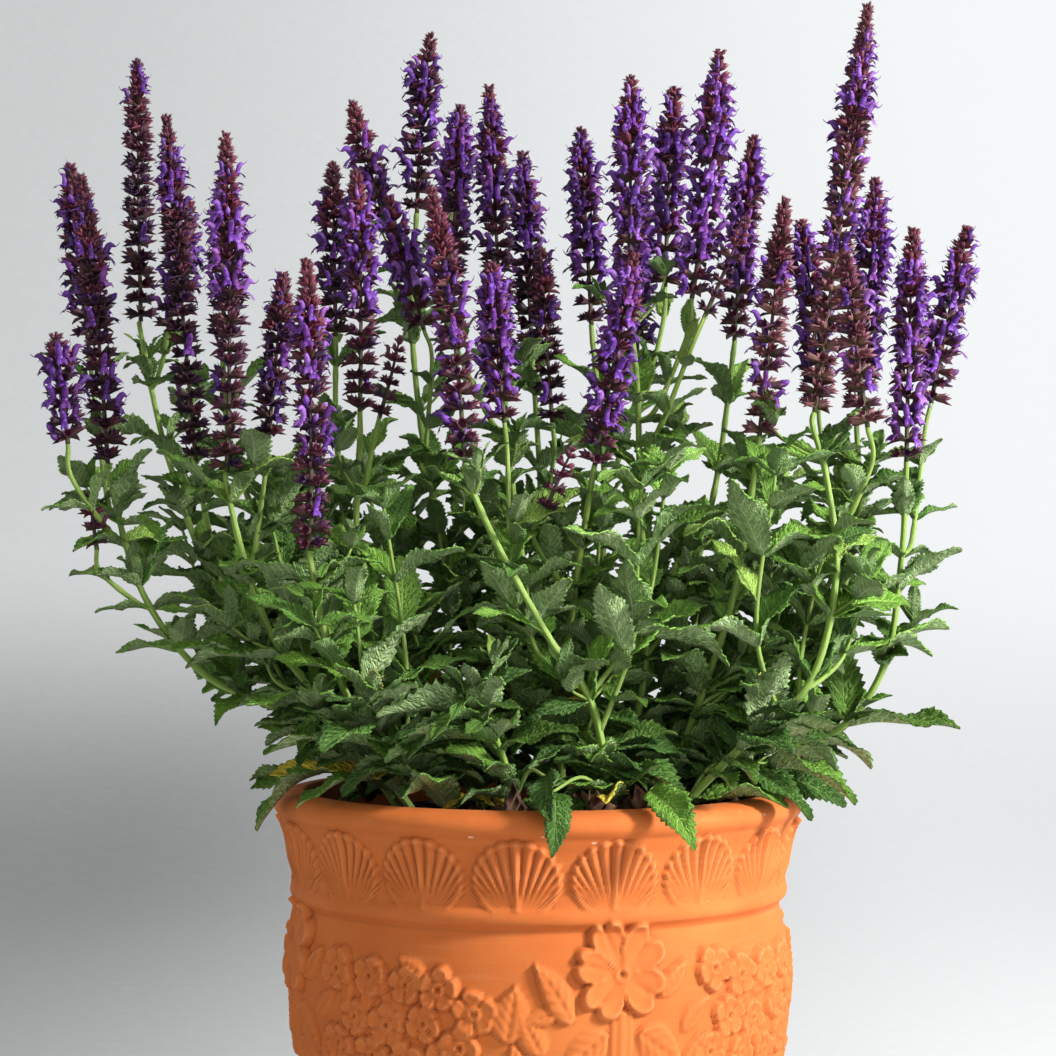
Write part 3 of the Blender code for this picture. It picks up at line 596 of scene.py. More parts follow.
def make_leaf():
    """Crinkled sage leaves. The tile picks the tone: 0 to 11 are upper sides, the rest lower."""
    n = Nodes("sage_leaf")
    u, v, tile = n.tiles(LEAF_START, LEAF_COLUMNS, LEAF_ROWS, PER_LEAF_U)
    share = n.math("DIVIDE", n.math("ADD", tile, 0.5), 16.0)
    greens = (
        (0.070, 0.165, 0.014), (0.130, 0.290, 0.026), (0.044, 0.122, 0.014), (0.170, 0.365, 0.044),
        (0.092, 0.215, 0.018), (0.200, 0.415, 0.056), (0.052, 0.140, 0.015), (0.142, 0.325, 0.038),
        (0.235, 0.455, 0.080), (0.100, 0.248, 0.030), (0.290, 0.490, 0.080), (0.580, 0.480, 0.040),
        (0.215, 0.355, 0.115), (0.260, 0.405, 0.145), (0.180, 0.315, 0.095), (0.300, 0.445, 0.175),
    )
    tone = n.ramp(share, [(i / 16.0, c) for i, c in enumerate(greens)], "CONSTANT")
    across = n.math("ABSOLUTE", n.math("MULTIPLY_ADD", u, 2.0, -1.0))
    spread = n.vector(u, n.times(v, 2.2), tile)
    patches = n.noise(spread, 2.4, 3.0)
    tone = n.mix(n.steps(patches, 0.40, 0.72, 0.0, 0.55), tone, n.tinted(tone, (1.45, 1.35, 1.5)))
    tone = n.mix(n.steps(patches, 0.48, 0.25, 0.0, 0.5), tone, n.tinted(tone, (0.62, 0.66, 0.6)))
    # Side veins leave the midrib in steep arcs and small veins net the blisters between them.
    arc = n.math("MULTIPLY_ADD", n.math("POWER", across, 1.25), -0.20, v)
    wave = n.times(n.math("SINE", n.times(arc, 62.8)), 0.5)
    side = n.steps(n.math("ADD", wave, 0.5), 0.78, 1.0)
    net = n.cells(n.vector(n.times(u, 1.0), n.times(arc, 2.1), tile), 11.0,
                  "DISTANCE_TO_EDGE")
    fine = n.steps(net, 0.12, 0.0)
    middle = n.steps(across, n.math("MULTIPLY_ADD", v, -0.060, 0.115), 0.0)
    veins = n.math("MAXIMUM", n.times(side, 0.62), n.times(fine, 0.26))
    veins = n.math("MAXIMUM", veins, middle)
    pale = n.tinted(tone, (2.2, 1.75, 2.4))
    colour = n.mix(n.times(veins, 0.85), tone, n.mix(0.20, pale, (0.52, 0.60, 0.28)))
    # A thin pale margin, and a few brown marks.
    colour = n.mix(n.steps(across, 0.93, 1.0, 0.0, 0.25), colour, (0.33, 0.40, 0.19))
    marks = n.noise(spread, 9.0, 2.0)
    colour = n.mix(n.steps(marks, 0.72, 0.78, 0.0, 0.6), colour, (0.17, 0.10, 0.035))
    n.set(Base_Color=colour, Roughness=n.steps(patches, 0.3, 0.7, 0.52, 0.70))
    n.set(Specular_IOR_Level=0.28)
    n.set(Subsurface_Weight=0.20)
    n.set(Subsurface_Radius=(0.0012, 0.0022, 0.0003))
    height = n.math("SUBTRACT", n.steps(net, 0.0, 0.35), n.times(veins, 1.1))
    n.set(Normal=n.bump(height, 0.0011, 0.85))
    return n.material


def make_stem():
    n = Nodes("green_stem")
    u, v = n.uv()
    along = n.vector(n.times(u, 60.0), n.times(v, 16.0), 0.0)
    tone = n.noise(along, 1.0, 3.0)
    fibres = n.noise(n.vector(n.times(u, 900.0), n.times(v, 14.0), 0.0), 1.0, 3.0)
    colour = n.ramp(tone, ((0.30, (0.165, 0.285, 0.034)), (0.52, (0.285, 0.445, 0.066)),
                           (0.72, (0.410, 0.570, 0.120))))
    colour = n.mix(n.steps(fibres, 0.50, 0.75, 0.0, 0.40), colour, (0.44, 0.54, 0.20))
    brown = n.steps(n.noise(along, 0.45, 2.0), 0.62, 0.74, 0.0, 0.5)
    colour = n.mix(brown, colour, (0.30, 0.16, 0.09))
    n.set(Base_Color=colour, Roughness=n.steps(fibres, 0.3, 0.7, 0.42, 0.60))
    n.set(Subsurface_Weight=0.12)
    n.set(Subsurface_Radius=(0.0010, 0.0018, 0.0004))
    n.set(Sheen_Weight=0.12)
    n.set(Normal=n.bump(fibres, 0.0005, 0.7))
    return n.material


def make_calyx():
    """Calyces, bracts and the spike's stalk: maroon to near black, or dried to pinkish brown."""
    n = Nodes("sage_calyx")
    u, v, tile = n.tiles(0.0, FLOWER_COLUMNS, FLOWER_ROWS, PER_FLOWER_U)
    share = n.math("DIVIDE", n.math("ADD", tile, 0.5), 8.0)
    tips = ((0.030, 0.006, 0.022), (0.060, 0.010, 0.030), (0.110, 0.020, 0.045),
            (0.085, 0.016, 0.060), (0.100, 0.022, 0.038), (0.200, 0.070, 0.090),
            (0.045, 0.010, 0.060), (0.150, 0.022, 0.046))
    bases = ((0.022, 0.010, 0.010), (0.045, 0.020, 0.014), (0.070, 0.045, 0.020),
             (0.060, 0.060, 0.022), (0.085, 0.060, 0.024), (0.175, 0.105, 0.060),
             (0.030, 0.016, 0.026), (0.090, 0.026, 0.022))
    tip = n.ramp(share, [(i / 8.0, c) for i, c in enumerate(tips)], "CONSTANT")
    base = n.ramp(share, [(i / 8.0, c) for i, c in enumerate(bases)], "CONSTANT")
    colour = n.mix(n.steps(v, 0.10, 0.62), base, tip)
    ribs = n.math("MULTIPLY_ADD", n.math("SINE", n.times(u, 62.8)), 0.5, 0.5)
    hairs = n.noise(n.vector(n.times(u, 9.0), n.times(v, 3.0), tile), 4.0, 4.0)
    colour = n.mix(n.times(n.math("POWER", ribs, 3.0), 0.5), colour,
                   n.tinted(colour, (2.3, 1.9, 1.9)))
    hairy = n.mix(0.25, colour, (0.34, 0.22, 0.24))
    colour = n.mix(n.steps(hairs, 0.50, 0.75, 0.0, 0.4), colour, hairy)
    n.set(Base_Color=colour, Roughness=n.steps(hairs, 0.3, 0.7, 0.45, 0.66))
    n.set(Normal=n.bump(n.math("ADD", n.times(ribs, 0.6), hairs), 0.0003, 0.8))
    return n.material


def make_petal():
    n = Nodes("violet_corolla")
    u, v, tile = n.tiles(PETAL_START, FLOWER_COLUMNS, FLOWER_ROWS, PER_FLOWER_U)
    share = n.math("DIVIDE", n.math("ADD", tile, 0.5), 8.0)
    tones = ((0.075, 0.014, 0.190), (0.122, 0.026, 0.290), (0.178, 0.048, 0.385),
             (0.150, 0.027, 0.270), (0.235, 0.080, 0.440), (0.090, 0.012, 0.170),
             (0.300, 0.120, 0.490), (0.210, 0.048, 0.300))
    tone = n.ramp(share, [(i / 8.0, c) for i, c in enumerate(tones)], "CONSTANT")
    lines = n.noise(n.vector(n.times(u, 26.0), n.times(v, 4.0), tile), 1.0, 3.0)
    # Darker at the foot and paler towards the tip, partly the corolla's own colour and partly
    # painted highlight; the pale streaks mixed in along the lines are painted highlight.
    colour = n.mix(n.steps(v, 0.05, 0.9, 0.0, 0.55), n.tinted(tone, (0.75, 0.60, 0.80)),
                   n.tinted(tone, (1.30, 1.35, 1.15)))
    painted_highlight = n.mix(0.3, colour, (0.50, 0.28, 0.66))
    colour = n.mix(n.steps(lines, 0.45, 0.75, 0.0, 0.35), colour, painted_highlight)
    n.set(Base_Color=colour, Roughness=n.steps(lines, 0.3, 0.7, 0.42, 0.60))
    n.set(Subsurface_Weight=0.22)
    n.set(Subsurface_Radius=(0.0014, 0.0006, 0.0022))
    n.set(Normal=n.bump(lines, 0.0003, 0.7))
    return n.material


terracotta = make_terracotta()
potting_mix = make_soil()
litter = make_litter()
leaf_skin = make_leaf()
stem_skin = make_stem()
calyx_skin = make_calyx()
petal_skin = make_petal()


def finish_piece(piece, node):
    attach(piece, "root")
    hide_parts(node)


# ---- the pot's moulded decoration: motifs laid out in millimetres over its skin ----


def soft_step(value, width):
    """0 below zero and 1 above, with a rounded step of this width round zero."""
    t = np.clip(value / width + 0.5, 0, 1)
    return t * t * (3 - 2 * t)


PALMETTES = 17
PALMETTE_FIRST = math.radians(-4.9)
PALMETTE_FOOT_DEPTH = 54.5
PALMETTE_HEIGHT = 38.5
PALMETTE_HALF_WIDTH = 25.0
PALMETTE_WAIST = 16.0
# The ribs fan out from a point this far below the foot.
RIB_FOCUS = 11.0
RIB_SPACING = 1.85
BIG_FLOWERS = 4
BIG_FLOWER_FIRST = math.radians(17.6)
BIG_FLOWER_DEPTH = 91.0
GARLAND_SEED = 5
GARLAND_ROWS, GARLAND_ROW_GAP, GARLAND_STAGGER = 4, 22.5, 12
# The motifs' heights are in steps of this many metres.
RELIEF_DEPTH = 0.00135


def palmette(x, y):
    """A fan of broad ribs with a scalloped edge. x from its middle and y up from its foot."""
    fan = 1 + np.clip(y, 0, 60) / RIB_FOCUS
    rib = 2 * math.pi * x / (RIB_SPACING * fan)
    wave = np.cos(rib)
    top = PALMETTE_HEIGHT - PALMETTE_WAIST
    reach = np.hypot(x / PALMETTE_HALF_WIDTH, (y - PALMETTE_WAIST) / top)
    edge = 1 + 0.020 * wave - reach
    mask = soft_step(edge, 0.09) * soft_step(y + 1.0, 2.5)
    ribs = 1 - (0.5 - 0.5 * wave) ** 1.7
    clear = np.clip((RIB_SPACING * fan - 2.2) / 1.6, 0.15, 1)
    rise = 0.35 + 0.5 * np.clip(1 - reach, 0, 1) + 1.45 * ribs * clear
    middle = 0.9 * np.exp(-((x / 1.9) ** 2))
    lip = 0.5 * np.exp(-(((reach - 0.93) / 0.05) ** 2))
    return mask * (rise + middle + lip)


def small_flower(x, y, size, turn, lift):
    """Five cupped petals with turned-up edges round a ring."""
    r = np.hypot(x, y) / size
    angle = np.arctan2(y, x) - turn
    lobe = np.abs(np.cos(2.5 * angle))
    uneven = 0.05 * np.sin(3 * angle + lift * 9) + 0.03 * np.sin(7 * angle + lift * 5)
    outline = 0.74 + 0.26 * lobe**0.5 + uneven
    mask = soft_step(outline - r, 0.20)
    cup = 1.3 + 1.7 * np.clip(r / outline, 0, 1) ** 2.2
    creases = np.exp(-((lobe / 0.22) ** 2)) * np.clip(r * 1.6, 0, 1) * 1.3
    folds = 0.22 * np.cos(15 * angle) * np.clip(r - 0.3, 0, 1)
    ring = 1.2 * np.exp(-(((r - 0.24) / 0.075) ** 2)) - 0.7 * np.exp(-((r / 0.11) ** 2))
    return mask * (lift + cup - creases + folds + ring)


def moulded_leaf(x, y, length, width, turn, bend, lift):
    """A pointed leaf with a creased middle, growing from (0, 0) in the direction of turn."""
    along = (x * math.cos(turn) + y * math.sin(turn)) / length
    side = (-x * math.sin(turn) + y * math.cos(turn)) / length
    side = side - bend * along * (1 - 0.3 * along)
    share = np.clip(along, 0, 1)
    half = width / length / 2 * np.sin(math.pi * share**0.72) ** 0.9
    across = np.abs(side) / np.maximum(half, 1e-3)
    mask = soft_step(1 - across, 0.35) * soft_step(along, 0.05) * soft_step(1 - along, 0.05)
    crown = 0.8 + 1.9 * np.clip(across, 0, 1) ** 1.3 * np.sign(side) * 0.35
    ridge = 1.3 * (1 - np.clip(across, 0, 1)) ** 0.8
    veins = 0.20 * np.cos(34 * (along - 0.5 * np.abs(side) * 2)) * (across < 1)
    groove = 0.9 * np.exp(-((across / 0.16) ** 2))
    return mask * (lift + crown + ridge + veins - groove)


# Petals of the big flower: (direction and half its spread in degrees, length in millimetres).
PETALS = (
    (109, 34, 31.0), (163, 37, 27.5), (231, 46, 27.5), (326, 55, 27.0), (48, 44, 31.0),
)


def big_flower(x, y):
    """Broad petals with turned-up edges, each notched at its tip and creased to the middle."""
    height = np.zeros_like(x)
    r = np.hypot(x, y)
    bearing = np.arctan2(y, x)
    for order, (direction, half, length) in enumerate(PETALS):
        off = np.degrees(wrapped(bearing - math.radians(direction))) / half
        fullness = np.clip(1 - np.abs(off) ** 3.2, 0, 1) ** 0.55
        notch = 1 - 0.13 * np.exp(-((off / 0.15) ** 2)) + 0.02 * np.cos(6 * off + order)
        outline = np.maximum(length * fullness * notch, 1e-3)
        share = np.clip(r / outline, 0, 1)
        mask = soft_step(outline - r, 3.4)
        crease = np.exp(-((np.radians(off * half) * r / 1.7) ** 2))
        crease = crease * np.clip(1.4 * share - 0.2, 0, 1)
        folds = 0.20 * np.cos(6 * off + order) * share
        edge = 0.6 * np.exp(-(((r - outline + 3.0) / 2.2) ** 2))
        edge = edge * np.clip((1 - np.abs(off)) * 5, 0, 1)
        rise = 1.7 + 0.15 * order + 1.5 * share**2 - 1.3 * crease + folds + edge
        height = np.maximum(height, mask * rise)
    inside = np.clip(height, 0, 1)
    height = height - 0.9 * np.exp(-((r / 1.6) ** 2)) * inside
    return height + 0.9 * np.exp(-(((r - 3.4) / 1.0) ** 2)) * inside


def wrapped(angle):
    return np.angle(np.exp(1j * angle))


# Leaves round each big flower: (foot across, foot up, length, width, direction, bend, lift).
MOULDED_LEAVES = (
    (-28, -26, 38, 17, 2.37, -0.35, 0.8), (-64, -37, 32, 25, 1.37, 0.05, 0.4),
    (24, -14, 27, 13, 1.06, -0.25, 0.5), (-9, -32, 34, 22, 3.7, 0.2, 0.2),
    (10, -32, 36, 24, -0.50, -0.2, 0.3), (-8, -50, 34, 20, 3.55, 0.1, 0.1),
    (9, -52, 34, 20, -0.40, -0.1, 0.1), (-44, -44, 26, 16, 2.0, 0.1, 0.2),
    (38, -34, 26, 14, 0.6, 0.2, 0.1), (-50, -66, 30, 18, 1.8, 0.2, 0.1),
    (44, -62, 28, 16, 1.2, 0.1, 0.1), (-36, -20, 20, 11, 3.3, 0.1, 0.1),
)
# Middles of the garland's top row of flowers: (across, up) from the big flower before it.
GARLAND_TOP = ((60, -2), (85, -6), (110, -8), (133, -6), (155, -20))


def relief(angle, depth, radius):
    """Height of the decoration, in metres, at each angle from the front, depth and radius."""
    depth, radius = depth / MM, radius / MM
    height = np.zeros_like(angle)
    pitch = 2 * math.pi / PALMETTES
    near = (angle - PALMETTE_FIRST + pitch / 2) % pitch - pitch / 2
    height = np.maximum(height, palmette(near * radius, PALMETTE_FOOT_DEPTH - depth))
    quarter = 2 * math.pi / BIG_FLOWERS
    local = (angle - BIG_FLOWER_FIRST + quarter / 2) % quarter - quarter / 2
    which = np.round(wrapped(angle - BIG_FLOWER_FIRST - local) / quarter).astype(int)
    which = which % BIG_FLOWERS
    x, y = local * radius, BIG_FLOWER_DEPTH - depth
    # A flat stalk below each big flower, between broad leaves.
    stalk = soft_step(6.2 - np.abs(x), 1.6) * soft_step(-20 - y, 3) * soft_step(y + 74, 6)
    height = np.maximum(height, stalk * (1.5 + 0.35 * np.cos(x * 0.9)))
    for lx, ly, length, width, turn, bend, lift in MOULDED_LEAVES:
        leaf = moulded_leaf(x - lx, y - ly, length, width, turn, bend, lift)
        height = np.maximum(height, leaf)
    rng = random.Random(GARLAND_SEED)
    reach = quarter * radius
    for part in range(BIG_FLOWERS):
        # A garland runs to the next big flower, so its far half lies to that one's left.
        from_here = np.where(x > 0, x, x + reach)
        owner = np.where(x > 0, which, (which - 1) % BIG_FLOWERS)
        mine = owner == part
        for row in range(GARLAND_ROWS):
            for cx, cy in GARLAND_TOP[row % 2:]:
                cx = cx - GARLAND_STAGGER * (row % 2) + rng.uniform(-2.5, 2.5)
                cy = cy - GARLAND_ROW_GAP * row + rng.uniform(-3, 3)
                size, turn = rng.uniform(10.8, 13.2), rng.uniform(0, 6.3)
                bloom = small_flower(from_here - cx, y - cy, size, turn, rng.uniform(0, 0.9))
                height = np.where(mine, np.maximum(height, bloom), height)
                if rng.random() < 0.75:
                    lx, ly = cx + rng.uniform(8, 13), cy + rng.uniform(-14, 6)
                    leaf = moulded_leaf(from_here - lx, y - ly, rng.uniform(17, 25),
                                        rng.uniform(9, 13), rng.uniform(0, 6.3),
                                        rng.uniform(-0.3, 0.3), 0.2)
                    height = np.where(mine, np.maximum(height, leaf), height)
    height = np.maximum(height, big_flower(x, y))
    # Between the flowers the ground of the garland stands a little proud.
    band = soft_step(-10 - y, 14) * soft_step(y + 82, 10)
    height = np.maximum(height, band * 0.35)
    return height * RELIEF_DEPTH


# Outer profile: (depth below the rim, radius), then joined with smooth curves.
OUTER_PROFILE = (
    (0.0000, 0.1430), (0.0006, 0.1500), (0.0026, 0.1562), (0.0062, 0.1594), (0.0100, 0.1597),
    (0.0130, 0.1580), (0.0152, 0.1560), (0.0185, 0.1545), (0.0240, 0.1520), (0.0320, 0.1498),
    (0.0420, 0.1482), (0.0520, 0.1475), (0.0545, 0.1482), (0.0565, 0.1496), (0.0595, 0.1502),
    (0.0625, 0.1494), (0.0648, 0.1470), (0.0672, 0.1452), (0.0700, 0.1456), (0.0780, 0.1474),
    (0.0900, 0.1492), (0.1060, 0.1500), (0.1230, 0.1496), (0.1400, 0.1480), (0.1550, 0.1454),
    (0.1700, 0.1412), (0.1850, 0.1352), (0.2000, 0.1276), (0.2150, 0.1188), (0.2300, 0.1106),
    (0.2420, 0.1054), (0.2520, 0.1024), (0.2575, 0.1010), (0.2582, 0.1000), (0.2590, 0.0962),
    (0.2610, 0.0960), (0.2655, 0.0962), (0.2672, 0.0956), (0.2680, 0.0940),
)
FLOOR_THICKNESS = 0.012
# Inner profile: (depth below the rim, radius), from the lip down to the corner of the floor.
INNER_WALL = (
    (0.0002, 0.1412), (0.0016, 0.1402), (0.0050, 0.1396), (0.0120, 0.1392), (0.0220, 0.1385),
    (0.0420, 0.1362), (0.0620, 0.1342), (0.0900, 0.1365), (0.1150, 0.1372), (0.1450, 0.1345),
    (0.1750, 0.1275), (0.2000, 0.1160), (0.2250, 0.1010), (0.2450, 0.0900),
    (POT_HEIGHT - FLOOR_THICKNESS - 0.002, 0.0860),
)
# Distance between rows down to each depth: fine over the lip and the decoration.
ROW_STEPS = ((0.014, 0.0011), (0.069, 0.00112), (0.178, 0.00138), (0.255, 0.0024), (1.0, 0.0012))
POT_COLUMNS = 760
INNER_COLUMNS = POT_COLUMNS // 4


def wall_radius(z):
    """Radius of the pot's inner wall at this height."""
    depths, radii = zip(*INNER_WALL)
    return float(np.interp(POT_HEIGHT - z, depths, radii))


def profile_rows():
    """Outer rows of (depth, radius), close together where the decoration is."""
    control = np.array(OUTER_PROFILE)
    control[:, 0] *= POT_HEIGHT / 0.268
    fine = catmull([(d, r, 0.0) for d, r in control], 2400)[:, :2]
    limits, steps = zip(*ROW_STEPS)
    step = np.array(steps)[np.searchsorted(limits[:-1], fine[:, 0], side="right")]
    lengths = run_lengths(np.column_stack([fine, np.zeros(len(fine))]))
    rows, last = [0], 0.0
    for i in range(1, len(fine)):
        if lengths[i] - last >= step[i]:
            rows.append(i)
            last = lengths[i]
    if rows[-1] != len(fine) - 1:
        rows.append(len(fine) - 1)
    return fine[rows]


def ring_points(depth, radius, columns):
    angle = np.arange(columns) * 2 * math.pi / columns
    return np.stack([radius * np.sin(angle), -radius * np.cos(angle),
                     np.full(columns, POT_HEIGHT - depth)], 1)


def make_pot():
    rows = profile_rows()
    count = len(rows)
    angle = np.arange(POT_COLUMNS) * 2 * math.pi / POT_COLUMNS
    grid_angle, depth = np.meshgrid(angle, rows[:, 0])
    radius = np.repeat(rows[:, 1:2], POT_COLUMNS, axis=1)
    seen = wrapped(grid_angle)
    lifted = radius + relief(seen, depth, radius)
    # Clay is never quite true: the wall wanders by a few tenths of a millimetre.
    wander = np.array([[perlin.noise(Vector((math.sin(a) * 2.2, math.cos(a) * 2.2, d * 26)))
                        for a in angle[::8]] for d in rows[:, 0]])
    wander = np.stack([np.interp(angle, np.append(angle[::8], 2 * math.pi), np.append(w, w[0]))
                       for w in wander])
    lifted = lifted + 0.0004 * wander
    outer = np.stack([lifted * np.sin(grid_angle), -lifted * np.cos(grid_angle),
                      POT_HEIGHT - depth + 0.00015 * wander * (depth < 0.01)], 2)
    # Rows run from the foot up, so that the skin faces out.
    outer = outer[::-1]
    shape = Shape()
    quads, uvs = grid_quads(count, POT_COLUMNS, True)
    scale = np.array([1.0, 0.72])
    floor_depth = POT_HEIGHT - FLOOR_THICKNESS
    inner_rows = [*INNER_WALL, (floor_depth, 0.0820), (floor_depth, 0.0640), (floor_depth, 0.0320)]
    inner = np.array([ring_points(d, r, INNER_COLUMNS) for d, r in inner_rows])
    base_rows = [(POT_HEIGHT, 0.0700), (POT_HEIGHT, 0.0640), (POT_HEIGHT, 0.0320)]
    under = np.array([ring_points(d, r, INNER_COLUMNS) for d, r in base_rows])[::-1]
    start_inner = count * POT_COLUMNS
    start_under = start_inner + inner.size // 3
    inner_quads, inner_uvs = grid_quads(len(inner), INNER_COLUMNS, True)
    under_quads, under_uvs = grid_quads(len(under), INNER_COLUMNS, True)
    points = np.concatenate([outer.reshape(-1, 3), inner.reshape(-1, 3), under.reshape(-1, 3)])
    tris, tri_uvs = [], []

    def fan(coarse_start, fine_start, coarse_v, fine_v, up):
        """Joins a ring of few points to a ring with four times as many."""
        for k in range(INNER_COLUMNS):
            near, after = coarse_start + k, coarse_start + (k + 1) % INNER_COLUMNS
            u = [(k + m / 4) / INNER_COLUMNS for m in range(5)]
            fine = [fine_start + (4 * k + m) % POT_COLUMNS for m in range(5)]
            made = []
            for m in range(4):
                to, u_to = (near, u[0]) if m < 2 else (after, u[4])
                made.append(((fine[m], fine[m + 1], to),
                             ((u[m], fine_v), (u[m + 1], fine_v), (u_to, coarse_v))))
            made.append(((near, fine[2], after),
                         ((u[0], coarse_v), (u[2], fine_v), (u[4], coarse_v))))
            for corners, corner_uvs in made:
                tris.append(corners if up else corners[::-1])
                tri_uvs.append(corner_uvs if up else corner_uvs[::-1])

    fan(start_inner, (count - 1) * POT_COLUMNS, 0.74, 0.72, True)
    fan(start_under + (len(under) - 1) * INNER_COLUMNS, 0, 0.99, 1.0, False)
    shape.add(
        points,
        np.concatenate([quads, inner_quads + start_inner, under_quads + start_under]),
        np.concatenate([uvs * scale, inner_uvs * (1, 0.20) + (0, 0.74),
                        under_uvs * (1, 0.04) + (0, 0.95)]),
        np.array(tris), np.array(tri_uvs),
    )
    floor_ring = start_inner + (len(inner) - 1) * INNER_COLUMNS
    return shape, floor_ring, start_under, POT_HEIGHT - floor_depth


def cap_disc(shape, ring, height, v, up):
    """Closes a round opening, whose ring of points starts at this index, with a fan."""
    middle = np.array([[0.0, 0.0, height]])
    columns = np.arange(INNER_COLUMNS)
    after = (columns + 1) % INNER_COLUMNS
    tris = np.stack([ring + columns, ring + after, np.full(INNER_COLUMNS, shape.count)], 1)
    u0, u1 = columns / INNER_COLUMNS, (columns + 1) / INNER_COLUMNS
    uvs = np.stack([np.stack([u0, v * np.ones(INNER_COLUMNS)], 1),
                    np.stack([u1, v * np.ones(INNER_COLUMNS)], 1),
                    np.stack([(u0 + u1) / 2, np.full(INNER_COLUMNS, v + 0.008)], 1)], 1)
    if not up:
        tris, uvs = tris[:, ::-1], uvs[:, ::-1]
    shape.points.append(middle)
    shape.tris.append(tris)
    shape.tri_uvs.append(uvs)
    shape.tri_slots.append(np.zeros(len(tris), int))
    shape.count += 1


DRAIN_COUNT = 3
DRAIN_RADIUS = 0.006
DRAIN_CIRCLE = 0.045


def drilled(pot):
    """Cuts the drain holes through the pot's floor."""
    cutters = Shape()
    for i in range(DRAIN_COUNT):
        turn = 2 * math.pi * (i + 0.25) / DRAIN_COUNT
        x, y = DRAIN_CIRCLE * math.cos(turn), DRAIN_CIRCLE * math.sin(turn)
        path = np.array([[x, y, -0.01], [x, y, 0.006], [x, y, 0.03]])
        rings = round_rings(path, np.full(3, DRAIN_RADIUS), 24)
        add_loft(cutters, rings, tile=((0.3, 0.955), (0.1, 0.03)))
    tool = cutters.build("drain_cutters", [])
    cut = pot.modifiers.new("drain_holes", "BOOLEAN")
    cut.operation = "DIFFERENCE"
    cut.solver = "MANIFOLD"
    cut.object = tool
    graph = bpy.context.evaluated_depsgraph_get()
    mesh = bpy.data.meshes.new_from_object(pot.evaluated_get(graph), depsgraph=graph)
    pot.modifiers.clear()
    pot.data = mesh
    bpy.data.objects.remove(tool)


def make_pot_piece():
    shape, floor_ring, under_ring, floor_height = make_pot()
    cap_disc(shape, floor_ring, floor_height, 0.94, True)
    cap_disc(shape, under_ring, 0.0, 0.95, False)
    pot = shape.build("pot_with_relief", [terracotta])
    drilled(pot)
    finish_piece(pot, "terracotta_pot")


make_pot_piece()


# ---- soil, with bark crumbs and dry leaves lying on it ----

SOIL_RINGS, SOIL_COLUMNS = 56, 180
SOIL_UV = 0.46


def soil_height(x, y):
    bumps = 0.0042 * perlin.noise(Vector((x * 38, y * 38, 1.7)))
    bumps += 0.0026 * perlin.noise(Vector((x * 110, y * 110, 4.1)))
    bumps += 0.0013 * abs(perlin.noise(Vector((x * 330, y * 330, 9.3))))
    return SOIL_TOP - 0.0060 + bumps - 0.006 * (math.hypot(x, y) / soil_high.x) ** 4


def add_chip(shape, rng, at, length, width, thickness, turn, tilt, curl, slot, tile):
    """A curled scrap: a dry leaf or a flake of bark."""
    rows, columns = 9, 5
    v, u = np.meshgrid(np.linspace(0, 1, rows), np.linspace(-1, 1, columns), indexing="ij")
    half = width / 2 * np.sin(math.pi * np.clip(v, 0.04, 0.97) ** 0.8) ** 0.7
    jag = np.array([[rng.uniform(0.86, 1.0) for _ in range(columns)] for _ in range(rows)])
    jag[:, 1:-1] = 1.0
    x = u * half * jag
    y = (v - 0.5) * length
    z = curl * width * (u**2 - 0.5) + 0.25 * curl * length * (2 * v - 1) ** 2
    z = z + 0.03 * length * np.sin(7 * v + rng.uniform(0, 6))
    basis = Matrix.Translation(at) @ Matrix.Rotation(turn, 4, "Z") @ Matrix.Rotation(tilt, 4, "X")
    basis = np.array(basis @ Matrix.Rotation(rng.uniform(-0.5, 0.5), 4, "Y"))
    grids = []
    for level in (thickness / 2, -thickness / 2):
        grid = np.stack([x, y, z + level], 2) @ basis[:3, :3].T + basis[:3, 3]
        grids.append(grid)
    add_sheet(shape, grids[0], grids[1], tile, tile, slot)


BARK_CHIPS, DRY_LEAVES = 330, 64


